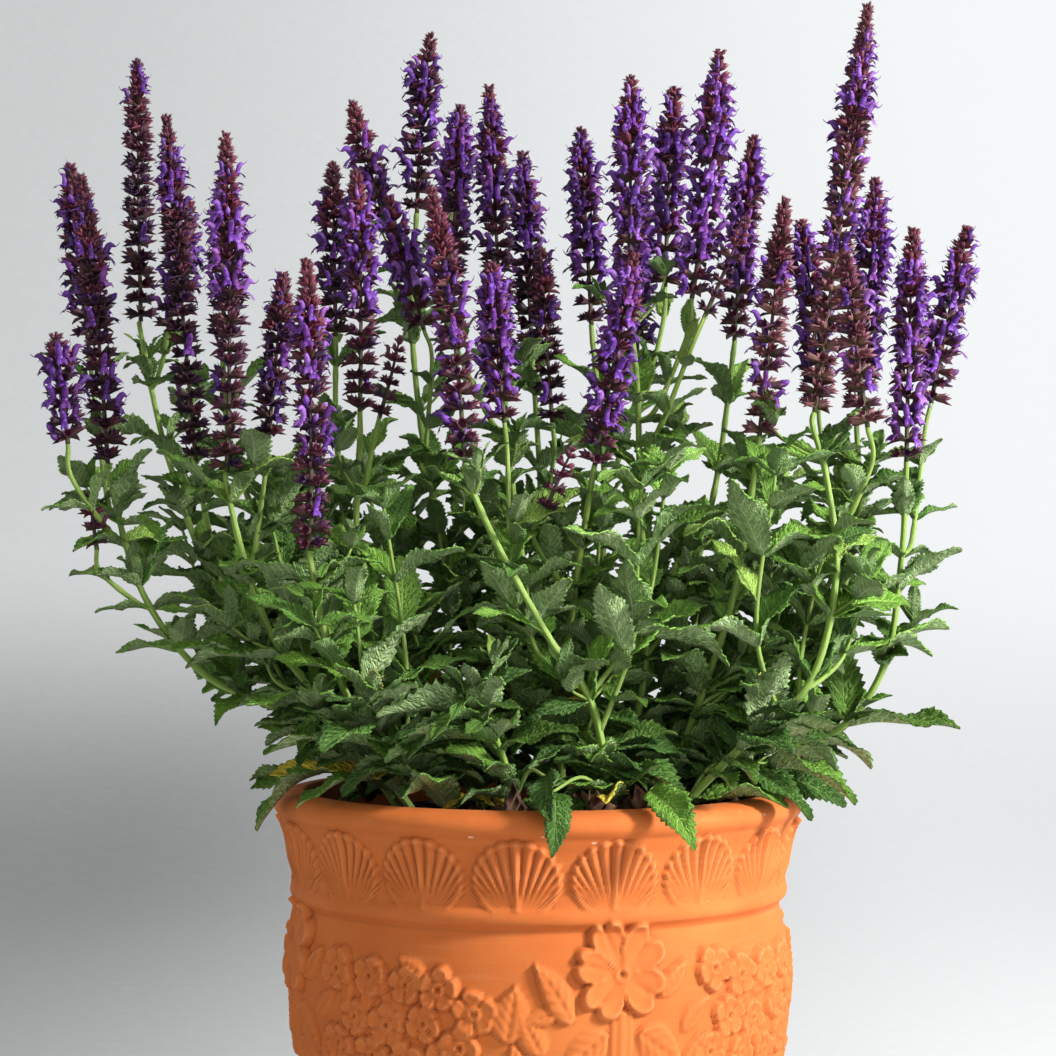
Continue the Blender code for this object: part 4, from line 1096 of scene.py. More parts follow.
def make_soil_piece():
    rng = random.Random(3)
    shape = Shape()
    radii = soil_high.x * 0.992 * np.linspace(0.02, 1, SOIL_RINGS) ** 0.85
    rings = []
    for r in radii[::-1]:
        ring = []
        for j in range(SOIL_COLUMNS):
            a = 2 * math.pi * j / SOIL_COLUMNS
            x, y = r * math.cos(a), r * math.sin(a)
            ring.append((x, y, soil_height(x, y)))
        rings.append(ring)
    # The side follows the pot's inner wall, just clear of it.
    side = []
    for z in np.linspace(soil_low.z + 0.001, SOIL_TOP - 0.024, 16):
        r = min(wall_radius(z) - 0.0008, radii[-1])
        side.append([(x * r / radii[-1], y * r / radii[-1], z) for x, y, _ in rings[0]])
    add_loft(shape, np.array(side + rings), tile=((0.0, 0.0), (1.0, SOIL_UV)))
    for _ in range(BARK_CHIPS):
        a, r = rng.uniform(0, 2 * math.pi), 0.134 * math.sqrt(rng.random())
        x, y = r * math.cos(a), r * math.sin(a)
        length = rng.uniform(0.004, 0.013)
        tile = ((rng.uniform(0, 0.8), rng.uniform(0.5, 0.85)), (0.15, 0.10))
        at = Vector((x, y, soil_height(x, y) + 0.0012))
        add_chip(shape, rng, at, length, length * rng.uniform(0.3, 0.6), 0.0012,
                 rng.uniform(0, 6.3), rng.uniform(-0.35, 0.35), 0.1, 1, tile)
    for _ in range(DRY_LEAVES):
        a, r = rng.uniform(0, 2 * math.pi), rng.uniform(0.085, 0.132)
        if rng.random() < 0.45:
            a = rng.gauss(math.radians(-42), 0.35)
        x, y = r * math.cos(a), r * math.sin(a)
        length = rng.uniform(0.020, 0.042)
        tile = ((rng.uniform(0, 0.8), rng.uniform(0.5, 0.85)), (0.15, 0.10))
        at = Vector((x, y, SOIL_TOP + rng.uniform(0.001, 0.010)))
        add_chip(shape, rng, at, length, length * rng.uniform(0.3, 0.5), 0.0006,
                 rng.uniform(0, 6.3), rng.uniform(-0.5, 0.5), rng.uniform(0.3, 0.9), 1, tile)
    soil = shape.build("soil_with_litter", [potting_mix, litter])
    finish_piece(soil, "potting_soil")


make_soil_piece()


# ---- stems and leaves ----

UP = np.array([0.0, 0.0, 1.0])
# Seeds of the random draws. A shoot's or a spike's own number is added to its seed.
LEAF_SHAPE_SEED, STEM_SEED, LEAFY_SEED, SPIKE_SEED, BUD_SEED = 21, 100, 300, 500, 900
LEAF_SHAPE_COUNT = 12
LEAF_LENGTH_ROWS, LEAF_ACROSS = 31, 7


def heading(azimuth):
    return np.array([math.cos(azimuth), math.sin(azimuth), 0.0])


def unit_grid(rows, columns):
    """(v, u) over a sheet: v from 0 at its foot to 1 at its tip, u from -1 to 1 across it."""
    return np.meshgrid(np.linspace(0, 1, rows), np.linspace(-1, 1, columns), indexing="ij")


def leaf_template(rng, broad):
    """A leaf one unit long from its foot at the origin along +Y, its upper side facing +Z."""
    v, u = unit_grid(LEAF_LENGTH_ROWS, LEAF_ACROSS)
    ratio = rng.uniform(0.32, 0.42) * broad
    half = ratio / 2 * np.sin(math.pi * np.clip(v, 0.0, 1) ** 0.74) ** 0.80
    petiole = 0.020
    half = np.maximum(half, petiole * (1 - v) + 0.004)
    teeth = np.where(np.arange(LEAF_LENGTH_ROWS) % 2 == 1, 1.03, 0.83)[:, None]
    rim = np.abs(u) > 0.99
    half = half * np.where(rim & (v > 0.08) & (v < 0.98), teeth, 1.0)
    x = u * half
    y = v + rim * np.where(teeth > 1, 0.012, -0.004)
    fold = rng.uniform(0.18, 0.55)
    z = fold * np.abs(x) - 0.6 * fold * np.abs(x) ** 2 / ratio
    # Blisters between the side veins, and a margin that waves.
    arc = v - 0.20 * np.abs(u) ** 1.25
    blisters = 0.019 * np.cos(2 * math.pi * 10 * arc) * np.abs(u) * (1 - 0.5 * rim)
    z = z + blisters * np.sin(math.pi * v) ** 0.5
    wave = rng.uniform(0, 6.28)
    z = z + 0.050 * u**3 * np.sin(11 * v + wave) * np.sin(math.pi * v) ** 0.5
    z = z + 0.022 * np.sin(6 * v + 2.3 * wave) * np.sin(math.pi * v)
    z = z - 0.013 * np.exp(-((u / 0.18) ** 2)) * np.sin(math.pi * v) ** 0.4
    droop = math.radians(rng.uniform(12, 82))
    twist = rng.uniform(-0.5, 0.5)
    bend = rng.uniform(-0.14, 0.14)
    # Bends the flat leaf along an arc that steepens towards the tip.
    turn = droop * v**1.5
    fine = np.linspace(0, 1, 301)
    slope = droop * fine**1.5
    run = np.concatenate([[0], np.cumsum(np.cos(slope))[:-1]]) / 300
    fall = np.concatenate([[0], np.cumsum(np.sin(slope))[:-1]]) / 300
    base_y = np.interp(y, fine, run)
    base_z = -np.interp(y, fine, fall)
    angle = twist * v
    cos, sin = np.cos(angle), np.sin(angle)
    across, up = x * cos - z * sin, x * sin + z * cos
    top = np.stack([across + bend * v**2, base_y + up * np.sin(turn),
                    base_z + up * np.cos(turn)], 2)
    thickness = 0.013 + 0.020 * np.exp(-((u / 0.16) ** 2)) * (1 - 0.75 * v)
    normal = np.stack([-sin, cos * np.sin(turn), cos * np.cos(turn)], 2)
    bottom = top - normal * thickness[..., None]
    return top, bottom


def leaf_templates():
    rng = random.Random(LEAF_SHAPE_SEED)
    made = []
    for k in range(LEAF_SHAPE_COUNT):
        made.append(leaf_template(rng, 1.0 if k % 3 else 1.2))
    return made


LEAVES = leaf_templates()
LOWER_SIDES = (12, 13, 14, 15)


def add_leaf(shape, which, matrix, upper, lower):
    grids = [grid @ matrix[:3, :3].T + matrix[:3, 3] for grid in LEAVES[which]]
    add_sheet(shape, grids[0], grids[1], leaf_tile(upper), leaf_tile(lower), 1)


def leaf_matrix(at, direction, length, roll):
    """Stands a leaf of this length at a point, its upper side to the sky as far as it can be."""
    along = unit(np.asarray(direction, float))
    across = np.cross(along, UP)
    across = unit(across) if np.linalg.norm(across) > 1e-3 else np.array([1.0, 0.0, 0.0])
    normal = np.cross(across, along)
    across, normal = (across * math.cos(roll) + normal * math.sin(roll),
                      normal * math.cos(roll) - across * math.sin(roll))
    matrix = np.eye(4)
    matrix[:3, 0], matrix[:3, 1], matrix[:3, 2] = across * length, along * length, normal * length
    matrix[:3, 3] = at
    return matrix


BOX_LOW = np.array(cad_low) - 0.012
BOX_HIGH = np.array(cad_high) + 0.012


def leaf_fits(which, matrix):
    """Whether a leaf is clear of the pot's wall and stays inside the frame's box, widened a
    little.
    """
    grid = LEAVES[which][0][::5, ::3].reshape(-1, 3) @ matrix[:3, :3].T + matrix[:3, 3]
    radius = np.hypot(grid[:, 0], grid[:, 1])
    over = (radius > RIM_RADIUS - 0.026) & (radius < RIM_RADIUS + 0.0015)
    wall = over & (grid[:, 2] < POT_HEIGHT + 0.0015)
    deep = (radius <= RIM_RADIUS - 0.026) & (grid[:, 2] < SOIL_TOP - 0.004)
    low = grid[:, 2] < POT_HEIGHT - 0.050
    boxed = (grid < BOX_LOW) | (grid > BOX_HIGH)
    return not (wall.any() or deep.any() or low.any() or boxed.any())


def try_leaf(shape, rng, at, azimuth, rise, length, upper=None, roll_spread=0.35):
    """Grows a leaf near this direction, changing it a little until it fits."""
    for attempt in range(9):
        spread = 0.10 + 0.09 * attempt
        turn = azimuth + rng.uniform(-spread, spread)
        lift = min(rise + rng.uniform(-0.16, 0.16) + 0.07 * attempt, 1.45)
        size = length * (1 - 0.05 * attempt)
        direction = heading(turn) * math.cos(lift) + UP * math.sin(lift)
        which = rng.randrange(LEAF_SHAPE_COUNT)
        matrix = leaf_matrix(at, direction, size, rng.uniform(-roll_spread, roll_spread))
        if leaf_fits(which, matrix):
            tone = tone_with_painted_shade(rng, at[2]) if upper is None else upper
            add_leaf(shape, which, matrix, tone, rng.choice(LOWER_SIDES))
            return True
    return False


def tone_with_painted_shade(rng, height):
    """Dark greens low in the mound, partly their own colour and partly painted shade, bright ones
    high up as painted light, and now and then a yellow leaf.
    """
    share = (height - POT_HEIGHT) / 0.25
    if share < 0.25 and rng.random() < 0.02:
        return 11
    if share > 0.30 and rng.random() < 0.22:
        return rng.choice((8, 10, 5))
    if share < 0.20:
        return rng.choice((0, 2, 6, 0, 1, 2, 6, 4))
    return rng.choice((0, 1, 3, 4, 2, 7, 9, 6, 7))


def spike_tips(shoot):
    yield shoot["spike"][1]
    for side in (*shoot.get("side", ()), *shoot.get("buds", ())):
        yield side[2]


TIPS = np.array([tip for shoot in SHOOTS for tip in spike_tips(shoot)])
EXTENTS = (*np.ptp(TIPS[:, :2], axis=0), TIPS[:, 2].max())


def place(point):
    x, y, z = point
    return np.array([x * PLANT_WIDTH / EXTENTS[0], y * PLANT_DEPTH / EXTENTS[1],
                     z * PLANT_HEIGHT / EXTENTS[2] + POT_HEIGHT])


def root_place(root):
    return np.array([root[0] * CROWN_RADIUS, root[1] * CROWN_RADIUS, SOIL_TOP - 0.003])


def stem_points(shoot):
    return [root_place(shoot["root"]), *[place(bend) for bend in shoot["bends"]]]


def side_curve(start, end, axis, out):
    """A side stem: leaves the main one sideways and turns up into its spike."""
    reach = np.linalg.norm(end - start)
    first = start + (unit(end - start) * 0.5 + out * 0.2) * reach * 0.35
    first = first - UP * (SIDE_STEM_SAG * reach * 0.4)
    before = end - axis * min(0.3 * reach, 0.02)
    return catmull([start, first, before, end], 40)


NODE_GAP = 0.045
COMPANIONS = 3


def add_stem(shape, path, start_radius, end_radius, number, sides=12):
    lengths = run_lengths(path)
    share = lengths / lengths[-1]
    radii = start_radius + (end_radius - start_radius) * share
    nodes = 1 + 0.16 * np.exp(-(((lengths / NODE_GAP) % 1 - 0.5) / 0.07) ** 2)
    rings = round_rings(path, radii * nodes, sides, squareness=0.75)
    column, row = number % 3, number // 3
    tile = ((0.004 + column * 0.082, 0.01 + row * 0.245), (0.074, 0.235))
    add_loft(shape, rings, tile)


def grow_along(shape, rng, path, first, gap, stop, big, small, turn, tufts=True):
    """Opposite pairs of leaves up a stem, each pair a quarter turn from the last."""
    lengths = run_lengths(path)
    tangents = np.gradient(path, axis=0)
    s = first
    while s < lengths[-1] - stop:
        at = at_length(path, lengths, s)
        tangent = unit(at_length(tangents, lengths, s))
        share = np.clip((at[2] - SOIL_TOP) / 0.26, 0, 1)
        length = (big + (small - big) * share) * rng.uniform(0.78, 1.16)
        for k in range(2):
            a = turn + k * math.pi
            out = heading(a)
            out = unit(out - tangent * out.dot(tangent))
            lean = unit(out + tangent * rng.uniform(0.35 + 0.55 * share, 0.95 + 0.95 * share))
            azimuth, rise = math.atan2(lean[1], lean[0]), math.asin(np.clip(lean[2], -1, 1))
            facing = out[1] < -0.6 and at[1] < 0
            if facing and rng.random() < 0.55:
                continue
            grown = length * rng.uniform(0.88, 1.06) * (0.72 if facing else 1.0)
            try_leaf(shape, rng, at, azimuth, max(rise, 0.05), grown)
            if tufts:
                add_sprig(shape, rng, at, a, tangent, length, rng.random() < 0.55)
        turn += math.pi / 2 + rng.uniform(-0.2, 0.2)
        s += gap * rng.uniform(0.9, 1.12)


def add_sprig(shape, rng, at, azimuth, tangent, length, long):
    """The young shoot in a leaf's armpit: a tuft of small leaves, or a twig with a few pairs."""
    if not long:
        for _ in range(2):
            try_leaf(shape, rng, at + tangent * 0.002, azimuth + rng.uniform(-0.8, 0.8),
                     rng.uniform(0.45, 1.15), length * rng.uniform(0.32, 0.58), roll_spread=0.7)
        return
    out = heading(azimuth)
    reach = rng.uniform(0.014, 0.038)
    tip = at + unit(out * rng.uniform(0.5, 0.9) + tangent * 0.8) * reach
    middle = at + (tip - at) * 0.5 + out * 0.12 * reach
    twig = catmull([at, middle, tip], 8)
    radii = np.linspace(0.0011, 0.0007, 8)
    add_loft(shape, round_rings(twig, radii, 6), tile=((0.004, 0.75), (0.2, 0.2)))
    for spot, size, rise in ((middle, 0.55, 0.30), (tip, 0.62, 0.55), (tip, 0.42, 1.10)):
        turn = azimuth + rng.uniform(0.9, 2.2)
        for k in range(2):
            try_leaf(shape, rng, spot, turn + k * math.pi, rise + rng.uniform(0.0, 0.45),
                     length * size * rng.uniform(0.85, 1.15), roll_spread=0.6)


def add_companion(shape, rng, path):
    """A leafy branch without flowers, which leaves the stem low down and climbs beside it."""
    lengths = run_lengths(path)
    start = at_length(path, lengths, lengths[-1] * rng.uniform(0.12, 0.42))
    azimuth = rng.uniform(-0.25, math.pi + 0.25)
    out = heading(azimuth)
    away = unit(start * (1, 1, 0))
    climb = max(POT_HEIGHT + rng.uniform(0.070, 0.190) - start[2], 0.03)
    tip = start + out * rng.uniform(0.015, 0.05) + away * climb * 0.30 + UP * climb
    tip = np.clip(tip, BOX_LOW + 0.035, BOX_HIGH - 0.035)
    middle = (start + tip) / 2 + out * 0.012 - UP * (0.12 * climb)
    curve = catmull([start, middle, tip], 30)
    tile = ((0.004, 0.25 + 0.5 * rng.random()), (0.2, 0.2))
    add_loft(shape, round_rings(curve, np.linspace(0.0015, 0.0009, 30), 8, 0.75), tile)
    grow_along(shape, rng, curve, 0.020, 0.027, 0.004, 0.058, 0.046, rng.uniform(0, 6.28), False)
    for k in range(4):
        try_leaf(shape, rng, curve[-1], azimuth + k * math.pi / 2, 0.6 + 0.35 * (k % 2),
                 rng.uniform(0.024, 0.040))


def mound_leaves(shape, rng, path, count):
    """Long-stalked leaves low on the shoot, which build the mound over the soil and the rim."""
    lengths = run_lengths(path)
    for _ in range(count):
        at = at_length(path, lengths, rng.uniform(0.012, 0.085))
        azimuth = math.atan2(at[1], at[0]) + rng.gauss(0, 1.15)
        try_leaf(shape, rng, at, azimuth, rng.uniform(0.05, 0.75), rng.uniform(0.040, 0.068))


def rim_leaves(shape, rng, path):
    """Leaves on long stalks that lie over the pot's rim and hang a little down its side."""
    lengths = run_lengths(path)
    start = at_length(path, lengths, 0.018)
    if np.hypot(start[0], start[1]) < 0.5 * CROWN_RADIUS:
        return
    middle = math.atan2(start[1], start[0])
    for k in range(2):
        azimuth = middle + (k - 0.5) * 0.42 + rng.uniform(-0.15, 0.15)
        if rng.random() < 0.55:
            continue
        out = heading(azimuth)
        foot = out * rng.uniform(0.126, 0.146) + UP * (POT_HEIGHT + rng.uniform(0.009, 0.020))
        stalk = catmull([start, (start + foot) / 2 + UP * 0.010, foot], 14)
        rise = rng.uniform(-0.35, 0.10)
        if try_leaf(shape, rng, foot, azimuth, rise, rng.uniform(0.044, 0.064), roll_spread=0.5):
            add_loft(shape, round_rings(stalk, np.linspace(0.0013, 0.0009, 14), 7),
                     tile=((0.004, 0.5), (0.2, 0.15)))


def spike_foot(table_base, table_tip):
    base, tip = place(table_base), place(table_tip)
    return base, unit(tip - base)


def make_shoot(index, shoot):
    """(the mesh, the closed spikes' ends) of a flowering shoot: stem, side stems and leaves."""
    rng = random.Random(STEM_SEED + index)
    shape, buds = Shape(), []
    base, axis = spike_foot(*shoot["spike"])
    path = catmull([*stem_points(shoot), base - axis * STRAIGHT_END, base], 110)
    add_stem(shape, path, STEM_RADIUS * 0.86, STEM_RADIUS * 0.56, 0)
    turn = rng.uniform(0, 6.28)
    grow_along(shape, rng, path, 0.030, NODE_GAP, 0.012, 0.068, 0.044, turn)
    for _ in range(COMPANIONS):
        add_companion(shape, rng, path)
    mound_leaves(shape, rng, path, 13)
    rim_leaves(shape, rng, path)
    number = 1
    for kind in ("side", "buds"):
        for leave, foot, tip in shoot.get(kind, ()):
            start = path[int(np.argmin(np.abs(path[:, 2] - place((0, 0, leave))[2])))]
            end, side_axis = spike_foot(foot, tip)
            flat = (end - start) * (1, 1, 0)
            out = unit(flat) if np.linalg.norm(flat) > 1e-4 else np.array([1.0, 0, 0])
            curve = side_curve(start, end, side_axis, out)
            add_stem(shape, curve, SIDE_STEM_RADIUS * 0.90, SIDE_STEM_RADIUS * 0.70, number, 10)
            azimuth = math.atan2(out[1], out[0])
            try_leaf(shape, rng, start, azimuth, 0.35, rng.uniform(0.034, 0.046))
            try_leaf(shape, rng, start, azimuth + math.pi, 0.35, rng.uniform(0.034, 0.046))
            grow_along(shape, rng, curve, 0.030, 0.034, 0.010, 0.040, 0.030,
                       rng.uniform(0, 6.28), False)
            if kind == "buds":
                buds.append((end, place(tip)))
            number += 1
    return shape, buds


def make_leafy(index, shoot):
    rng = random.Random(LEAFY_SEED + index)
    shape = Shape()
    path = catmull(stem_points(shoot), 90)
    add_stem(shape, path, STEM_RADIUS * 0.9, STEM_RADIUS * 0.5, 0)
    grow_along(shape, rng, path, 0.020, 0.026, 0.004, 0.056, 0.044, rng.uniform(0, 6.28))
    mound_leaves(shape, rng, path, 14)
    rim_leaves(shape, rng, path)
    tip = path[-1]
    for k in range(6):
        try_leaf(shape, rng, tip, k * 1.05 + rng.uniform(-0.2, 0.2), rng.uniform(0.5, 1.1),
                 rng.uniform(0.024, 0.038))
    return shape


# ---- flowers ----


def oval_rings(path, wide, tall, sides=8):
    """Rings round a path that lies in the plane x = 0: wide across x, tall in the plane."""
    tangents = unit(np.gradient(path, axis=0))
    across = np.array([1.0, 0.0, 0.0])
    up = np.cross(tangents, across)
    angle = np.arange(sides) * 2 * math.pi / sides
    wide, tall = np.asarray(wide)[:, None, None], np.asarray(tall)[:, None, None]
    return (path[:, None] + across * wide * np.cos(angle)[None, :, None]
            + up[:, None] * tall * np.sin(angle)[None, :, None])


def calyx_template(open_mouth):
    """A ribbed bell with pointed teeth, 6 mm long, growing along +Z with its upper side to +Y."""
    shape = Shape()
    sides = 10
    angle = np.arange(sides) * 2 * math.pi / sides + math.pi / 2
    tooth = np.where(np.arange(sides) % 2 == 0, 1.0, 0.0)
    upper = np.clip(np.sin(angle), -1, 1)
    rib = 1 + 0.07 * np.where(np.arange(sides) % 2 == 0, 1, -1)
    flare = 1.90 if open_mouth else 0.85
    rows = ((0.0, 0.45, 0), (0.7, 0.92, 0), (2.0, 1.30, 0), (3.4, 1.50, 0),
            (4.6, 1.15 + 0.28 * flare, 0), (5.2, flare, 1))
    rings = []
    for z, r, toothed in rows:
        height = z + toothed * (tooth * (2.3 - 0.6 * upper) - 0.35)
        radius = r * rib * (1 + toothed * 0.22 * tooth) * (1 - 0.06 * upper)
        rings.append(np.stack([radius * np.cos(angle) * 0.92, radius * np.sin(angle),
                               height * np.ones(sides)], 1))
    inner = ((4.4, flare * 0.55),)
    if open_mouth:
        inner = ((4.7, flare * 0.78), (3.4, 1.05), (2.6, 0.7))
    for z, r in inner:
        rings.append(np.stack([r * np.cos(angle) * 0.92, r * np.sin(angle), np.full(sides, z)], 1))
    add_loft(shape, np.array(rings) * MM)
    return shape.frozen()


def bract_template():
    """A pointed oval leaflet under the flowers, growing along +Z with its hollow side to +Y."""
    shape = Shape()
    v, u = unit_grid(7, 5)
    half = 3.0 * np.sin(math.pi * np.clip(v, 0.03, 1) ** 0.62) ** 0.85 * (1 - 0.25 * v) + 0.05
    x = u * half
    z = 7.4 * v
    y = 0.9 * u**2 * np.sin(math.pi * v) - 1.6 * v**2 + 0.2 * np.abs(u)
    top = np.stack([x, y, z], 2) * MM
    bottom = top - np.array([0, 0.30, 0]) * MM
    # Seen from +Y the grid runs clockwise, so the columns are turned round.
    add_sheet(shape, top[:, ::-1], bottom[:, ::-1], ((0, 0), (0.48, 1)), ((0.52, 0), (0.48, 1)))
    return shape.frozen()


def corolla_template(hooked, spread):
    """A two-lipped sage flower: tube, sickle-shaped hood, drooping lip and long style."""
    shape = Shape()
    tube = catmull([(0, 0, 3.0), (0, 0.15, 5.0), (0, 0.5, 7.4)], 4)
    add_loft(shape, oval_rings(tube, [0.95, 1.15, 1.35, 1.2], [0.95, 1.2, 1.5, 1.5]) * MM,
             tile=((0.0, 0.0), (0.30, 0.45)))
    hood = catmull([(0, 0.8, 5.8), (0, 1.9, 7.3), (0, 3.2, 8.7), (0, 3.9 - hooked * 0.2, 10.4),
                    (0, 3.3 - hooked, 12.0)], 8)
    add_loft(shape, oval_rings(hood, [1.0, 1.25, 1.3, 1.25, 1.15, 1.0, 0.8, 0.35],
                               [0.9, 1.15, 1.35, 1.45, 1.4, 1.15, 0.8, 0.35]) * MM,
             tile=((0.0, 0.45), (0.45, 0.55)))
    v, u = unit_grid(7, 7)
    half = np.interp(v, [0, 0.3, 0.55, 0.8, 1.0], [0.9, 1.7 * spread, 1.3, 2.1 * spread, 1.5])
    notch = 0.9 * np.exp(-((u / 0.25) ** 2)) * v**6
    z = 6.2 + 4.3 * v - 1.0 * v**2.2 - notch
    y = -0.5 - 0.2 * v - 2.7 * v**2.1 + 0.9 * u**2 * np.sin(math.pi * v) - 1.2 * u**4 * v
    top = np.stack([u * half, y, z], 2) * MM
    bottom = top - np.array([0, 0.28, 0.10]) * MM
    add_sheet(shape, top[:, ::-1], bottom[:, ::-1],
              ((0.5, 0.0), (0.48, 0.48)), ((0.5, 0.5), (0.48, 0.48)))
    style = catmull([(0, 3.4 - hooked, 11.6), (0, 3.6 - hooked, 13.0), (0, 4.5 - hooked, 14.4)], 4)
    add_loft(shape, oval_rings(style, [0.22, 0.18, 0.16, 0.12], [0.22, 0.18, 0.16, 0.12], 4) * MM,
             tile=((0.32, 0.0), (0.15, 0.40)))
    return shape.frozen()


def petal_bud_template():
    """A corolla that is still furled, showing past its calyx."""
    shape = Shape()
    path = catmull([(0, 0, 3.6), (0, 0.3, 5.6), (0, 1.0, 7.4), (0, 1.9, 8.6)], 6)
    rings = oval_rings(path, [0.8, 1.05, 1.25, 1.3, 1.0, 0.4], [0.8, 1.1, 1.35, 1.4, 1.1, 0.4])
    add_loft(shape, rings * MM)
    return shape.frozen()


CALYX_OPEN = calyx_template(True)
CALYX_CLOSED = calyx_template(False)
BRACT = bract_template()
COROLLAS = [corolla_template(0.3, 1.0), corolla_template(1.3, 1.15), corolla_template(0.8, 0.85)]
PETAL_BUD = petal_bud_template()

FULLNESS = 1.42
# On a closed spike no whorl is in bloom, so only the odd stray flower opens.
CLOSED_LOOK = (2.0, 2.0, 0.0, 1)
# For each tone of LOOKS, the calyx tiles to draw from low on the spike and at its top.
CALYX_TONES = {
    0: ((0, 0, 1, 1, 6, 2), (1, 2, 7)),
    1: ((1, 2, 3, 4, 2, 6), (2, 7, 7)),
    2: ((4, 5, 5, 4, 5, 3), (4, 2, 7)),
}
# The petal tiles to draw from on a spike of tone 0, and on the others.
VIOLETS = ((0, 0, 1, 1, 2, 3, 5, 5, 7), (0, 1, 1, 2, 2, 3, 4, 5, 6, 7))


def flower_matrix(at, outward, axis, lift, size, roll):
    """A frame whose +Z leans out from the stalk at this lift and whose +Y is its upper side."""
    z = unit(outward * math.cos(lift) + axis * math.sin(lift))
    y = unit(axis * math.cos(lift) - outward * math.sin(lift))
    x = np.cross(y, z)
    x, y = x * math.cos(roll) + y * math.sin(roll), y * math.cos(roll) - x * math.sin(roll)
    matrix = np.eye(4)
    matrix[:3] = np.stack([x * size, y * size, z * size, at], 1)
    return matrix


class Placed:
    """The copies of each template that a spike needs, with their tiles."""

    def __init__(self):
        self.groups = {}

    def add(self, template, slot, matrix, tile):
        start = 0.0 if slot == 0 else PETAL_START
        matrices, offsets = self.groups.setdefault((id(template), slot), (template, [], []))[1:]
        matrices.append(matrix)
        offsets.append(flower_tile(tile, start)[0])

    def fill(self, shape):
        for (_, slot), (template, matrices, offsets) in self.groups.items():
            size = flower_tile(0, 0.0)[1]
            shape.copies(template, matrices, offsets, size, slot)


def grow_spike(shape, rng, base, tip, look, slender=1.0):
    """Whorls of flowers up a stalk, shrinking to a cone of buds at the tip."""
    open_from, open_to, how_many, tone = look
    length = float(np.linalg.norm(tip - base))
    axis = unit(tip - base)
    side = unit(np.cross(axis, np.array([rng.uniform(-1, 1), rng.uniform(-1, 1), 0.3])))
    bow = min(0.0028, 0.02 * length) * rng.uniform(-1, 1)
    s = np.linspace(0, 1, 40)
    path = base + (tip - base) * s[:, None] * 0.985 + side * (bow * np.sin(math.pi * s))[:, None]
    stalk = round_rings(path, 0.0014 - 0.0009 * s, 8, 0.6)
    corner, size = flower_tile(3 if tone else 2, 0.0)
    add_loft(shape, stalk, tile=(corner, size))
    first = unit(np.cross(axis, side))
    second = np.cross(axis, first)
    placed = Placed()
    lower, upper = CALYX_TONES[tone]
    share = 0.004 / length
    turn = rng.uniform(0, 6.28)
    while share < 0.975:
        taper = np.interp(share, [0, 0.06, 0.70, 0.88, 1.0], [0.86, 1.0, 0.98, 0.66, 0.34])
        taper = taper * slender
        point = base + axis * share * length + side * bow * math.sin(math.pi * share)
        closed = share > np.interp(length, [0.05, 0.18], [0.72, 0.84])
        lift_middle = np.interp(share, [0, 0.7, 0.9, 1.0], [0.42, 0.56, 0.95, 1.30])
        for group in (0, math.pi):
            bract_turn = turn + group
            out = first * math.cos(bract_turn) + second * math.sin(bract_turn)
            bract_lift = lift_middle - rng.uniform(0.30, 0.62)
            bract_size = taper * rng.uniform(0.82, 1.10) * (0.95 if closed else 1.0)
            tile = rng.choice(lower if share < 0.6 else upper)
            matrix = flower_matrix(point + out * 0.0008, out, axis, bract_lift, bract_size,
                                   rng.uniform(-0.3, 0.3))
            placed.add(BRACT, 0, matrix, tile)
            for k in (-1, 0, 1):
                a = bract_turn + k * rng.uniform(0.72, 0.98) + rng.uniform(-0.10, 0.10)
                out = first * math.cos(a) + second * math.sin(a)
                size = taper * rng.uniform(0.84, 1.16)
                lift = lift_middle + rng.uniform(-0.42, 0.30)
                spot = point + out * 0.0009 + axis * rng.uniform(-0.0007, 0.0007)
                matrix = flower_matrix(spot, out, axis, lift, size, rng.uniform(-0.25, 0.25))
                tile = rng.choice(lower if share < 0.62 + 0.1 * rng.random() else upper)
                placed.add(CALYX_CLOSED if closed else CALYX_OPEN, 0, matrix, tile)
                in_bloom = open_from <= share <= open_to
                edge = min(share - open_from, open_to - share) / 0.10
                chance = how_many * np.clip(0.45 + 0.55 * edge, 0, 1) if in_bloom else 0.03
                if share > 0.93:
                    chance = 0
                draw = rng.random() * (1.0 if share > 0.10 else 1.5)
                violet = rng.choice(VIOLETS[tone > 0])
                if draw < chance * 0.80:
                    kind = rng.choice(COROLLAS)
                    shorter = np.diag([1, 1, rng.uniform(0.78, 0.96), 1])
                    placed.add(kind, 1, matrix @ shorter, violet)
                elif draw < chance:
                    placed.add(PETAL_BUD, 1, matrix, violet)
        gap = np.interp(share, [0, 0.5, 0.80, 1.0], [0.0092, 0.0076, 0.0048, 0.0021])
        share += gap * rng.uniform(0.86, 1.12) / length
        turn += math.pi / 2 + rng.uniform(-0.16, 0.16)
    for k in range(6):
        a = k * 2.4
        out = first * math.cos(a) + second * math.sin(a)
        matrix = flower_matrix(base + axis * length * 0.975, out, axis, 1.25 + 0.03 * k, 0.36, 0)
        placed.add(CALYX_CLOSED, 0, matrix, 7)
    placed.fill(shape)


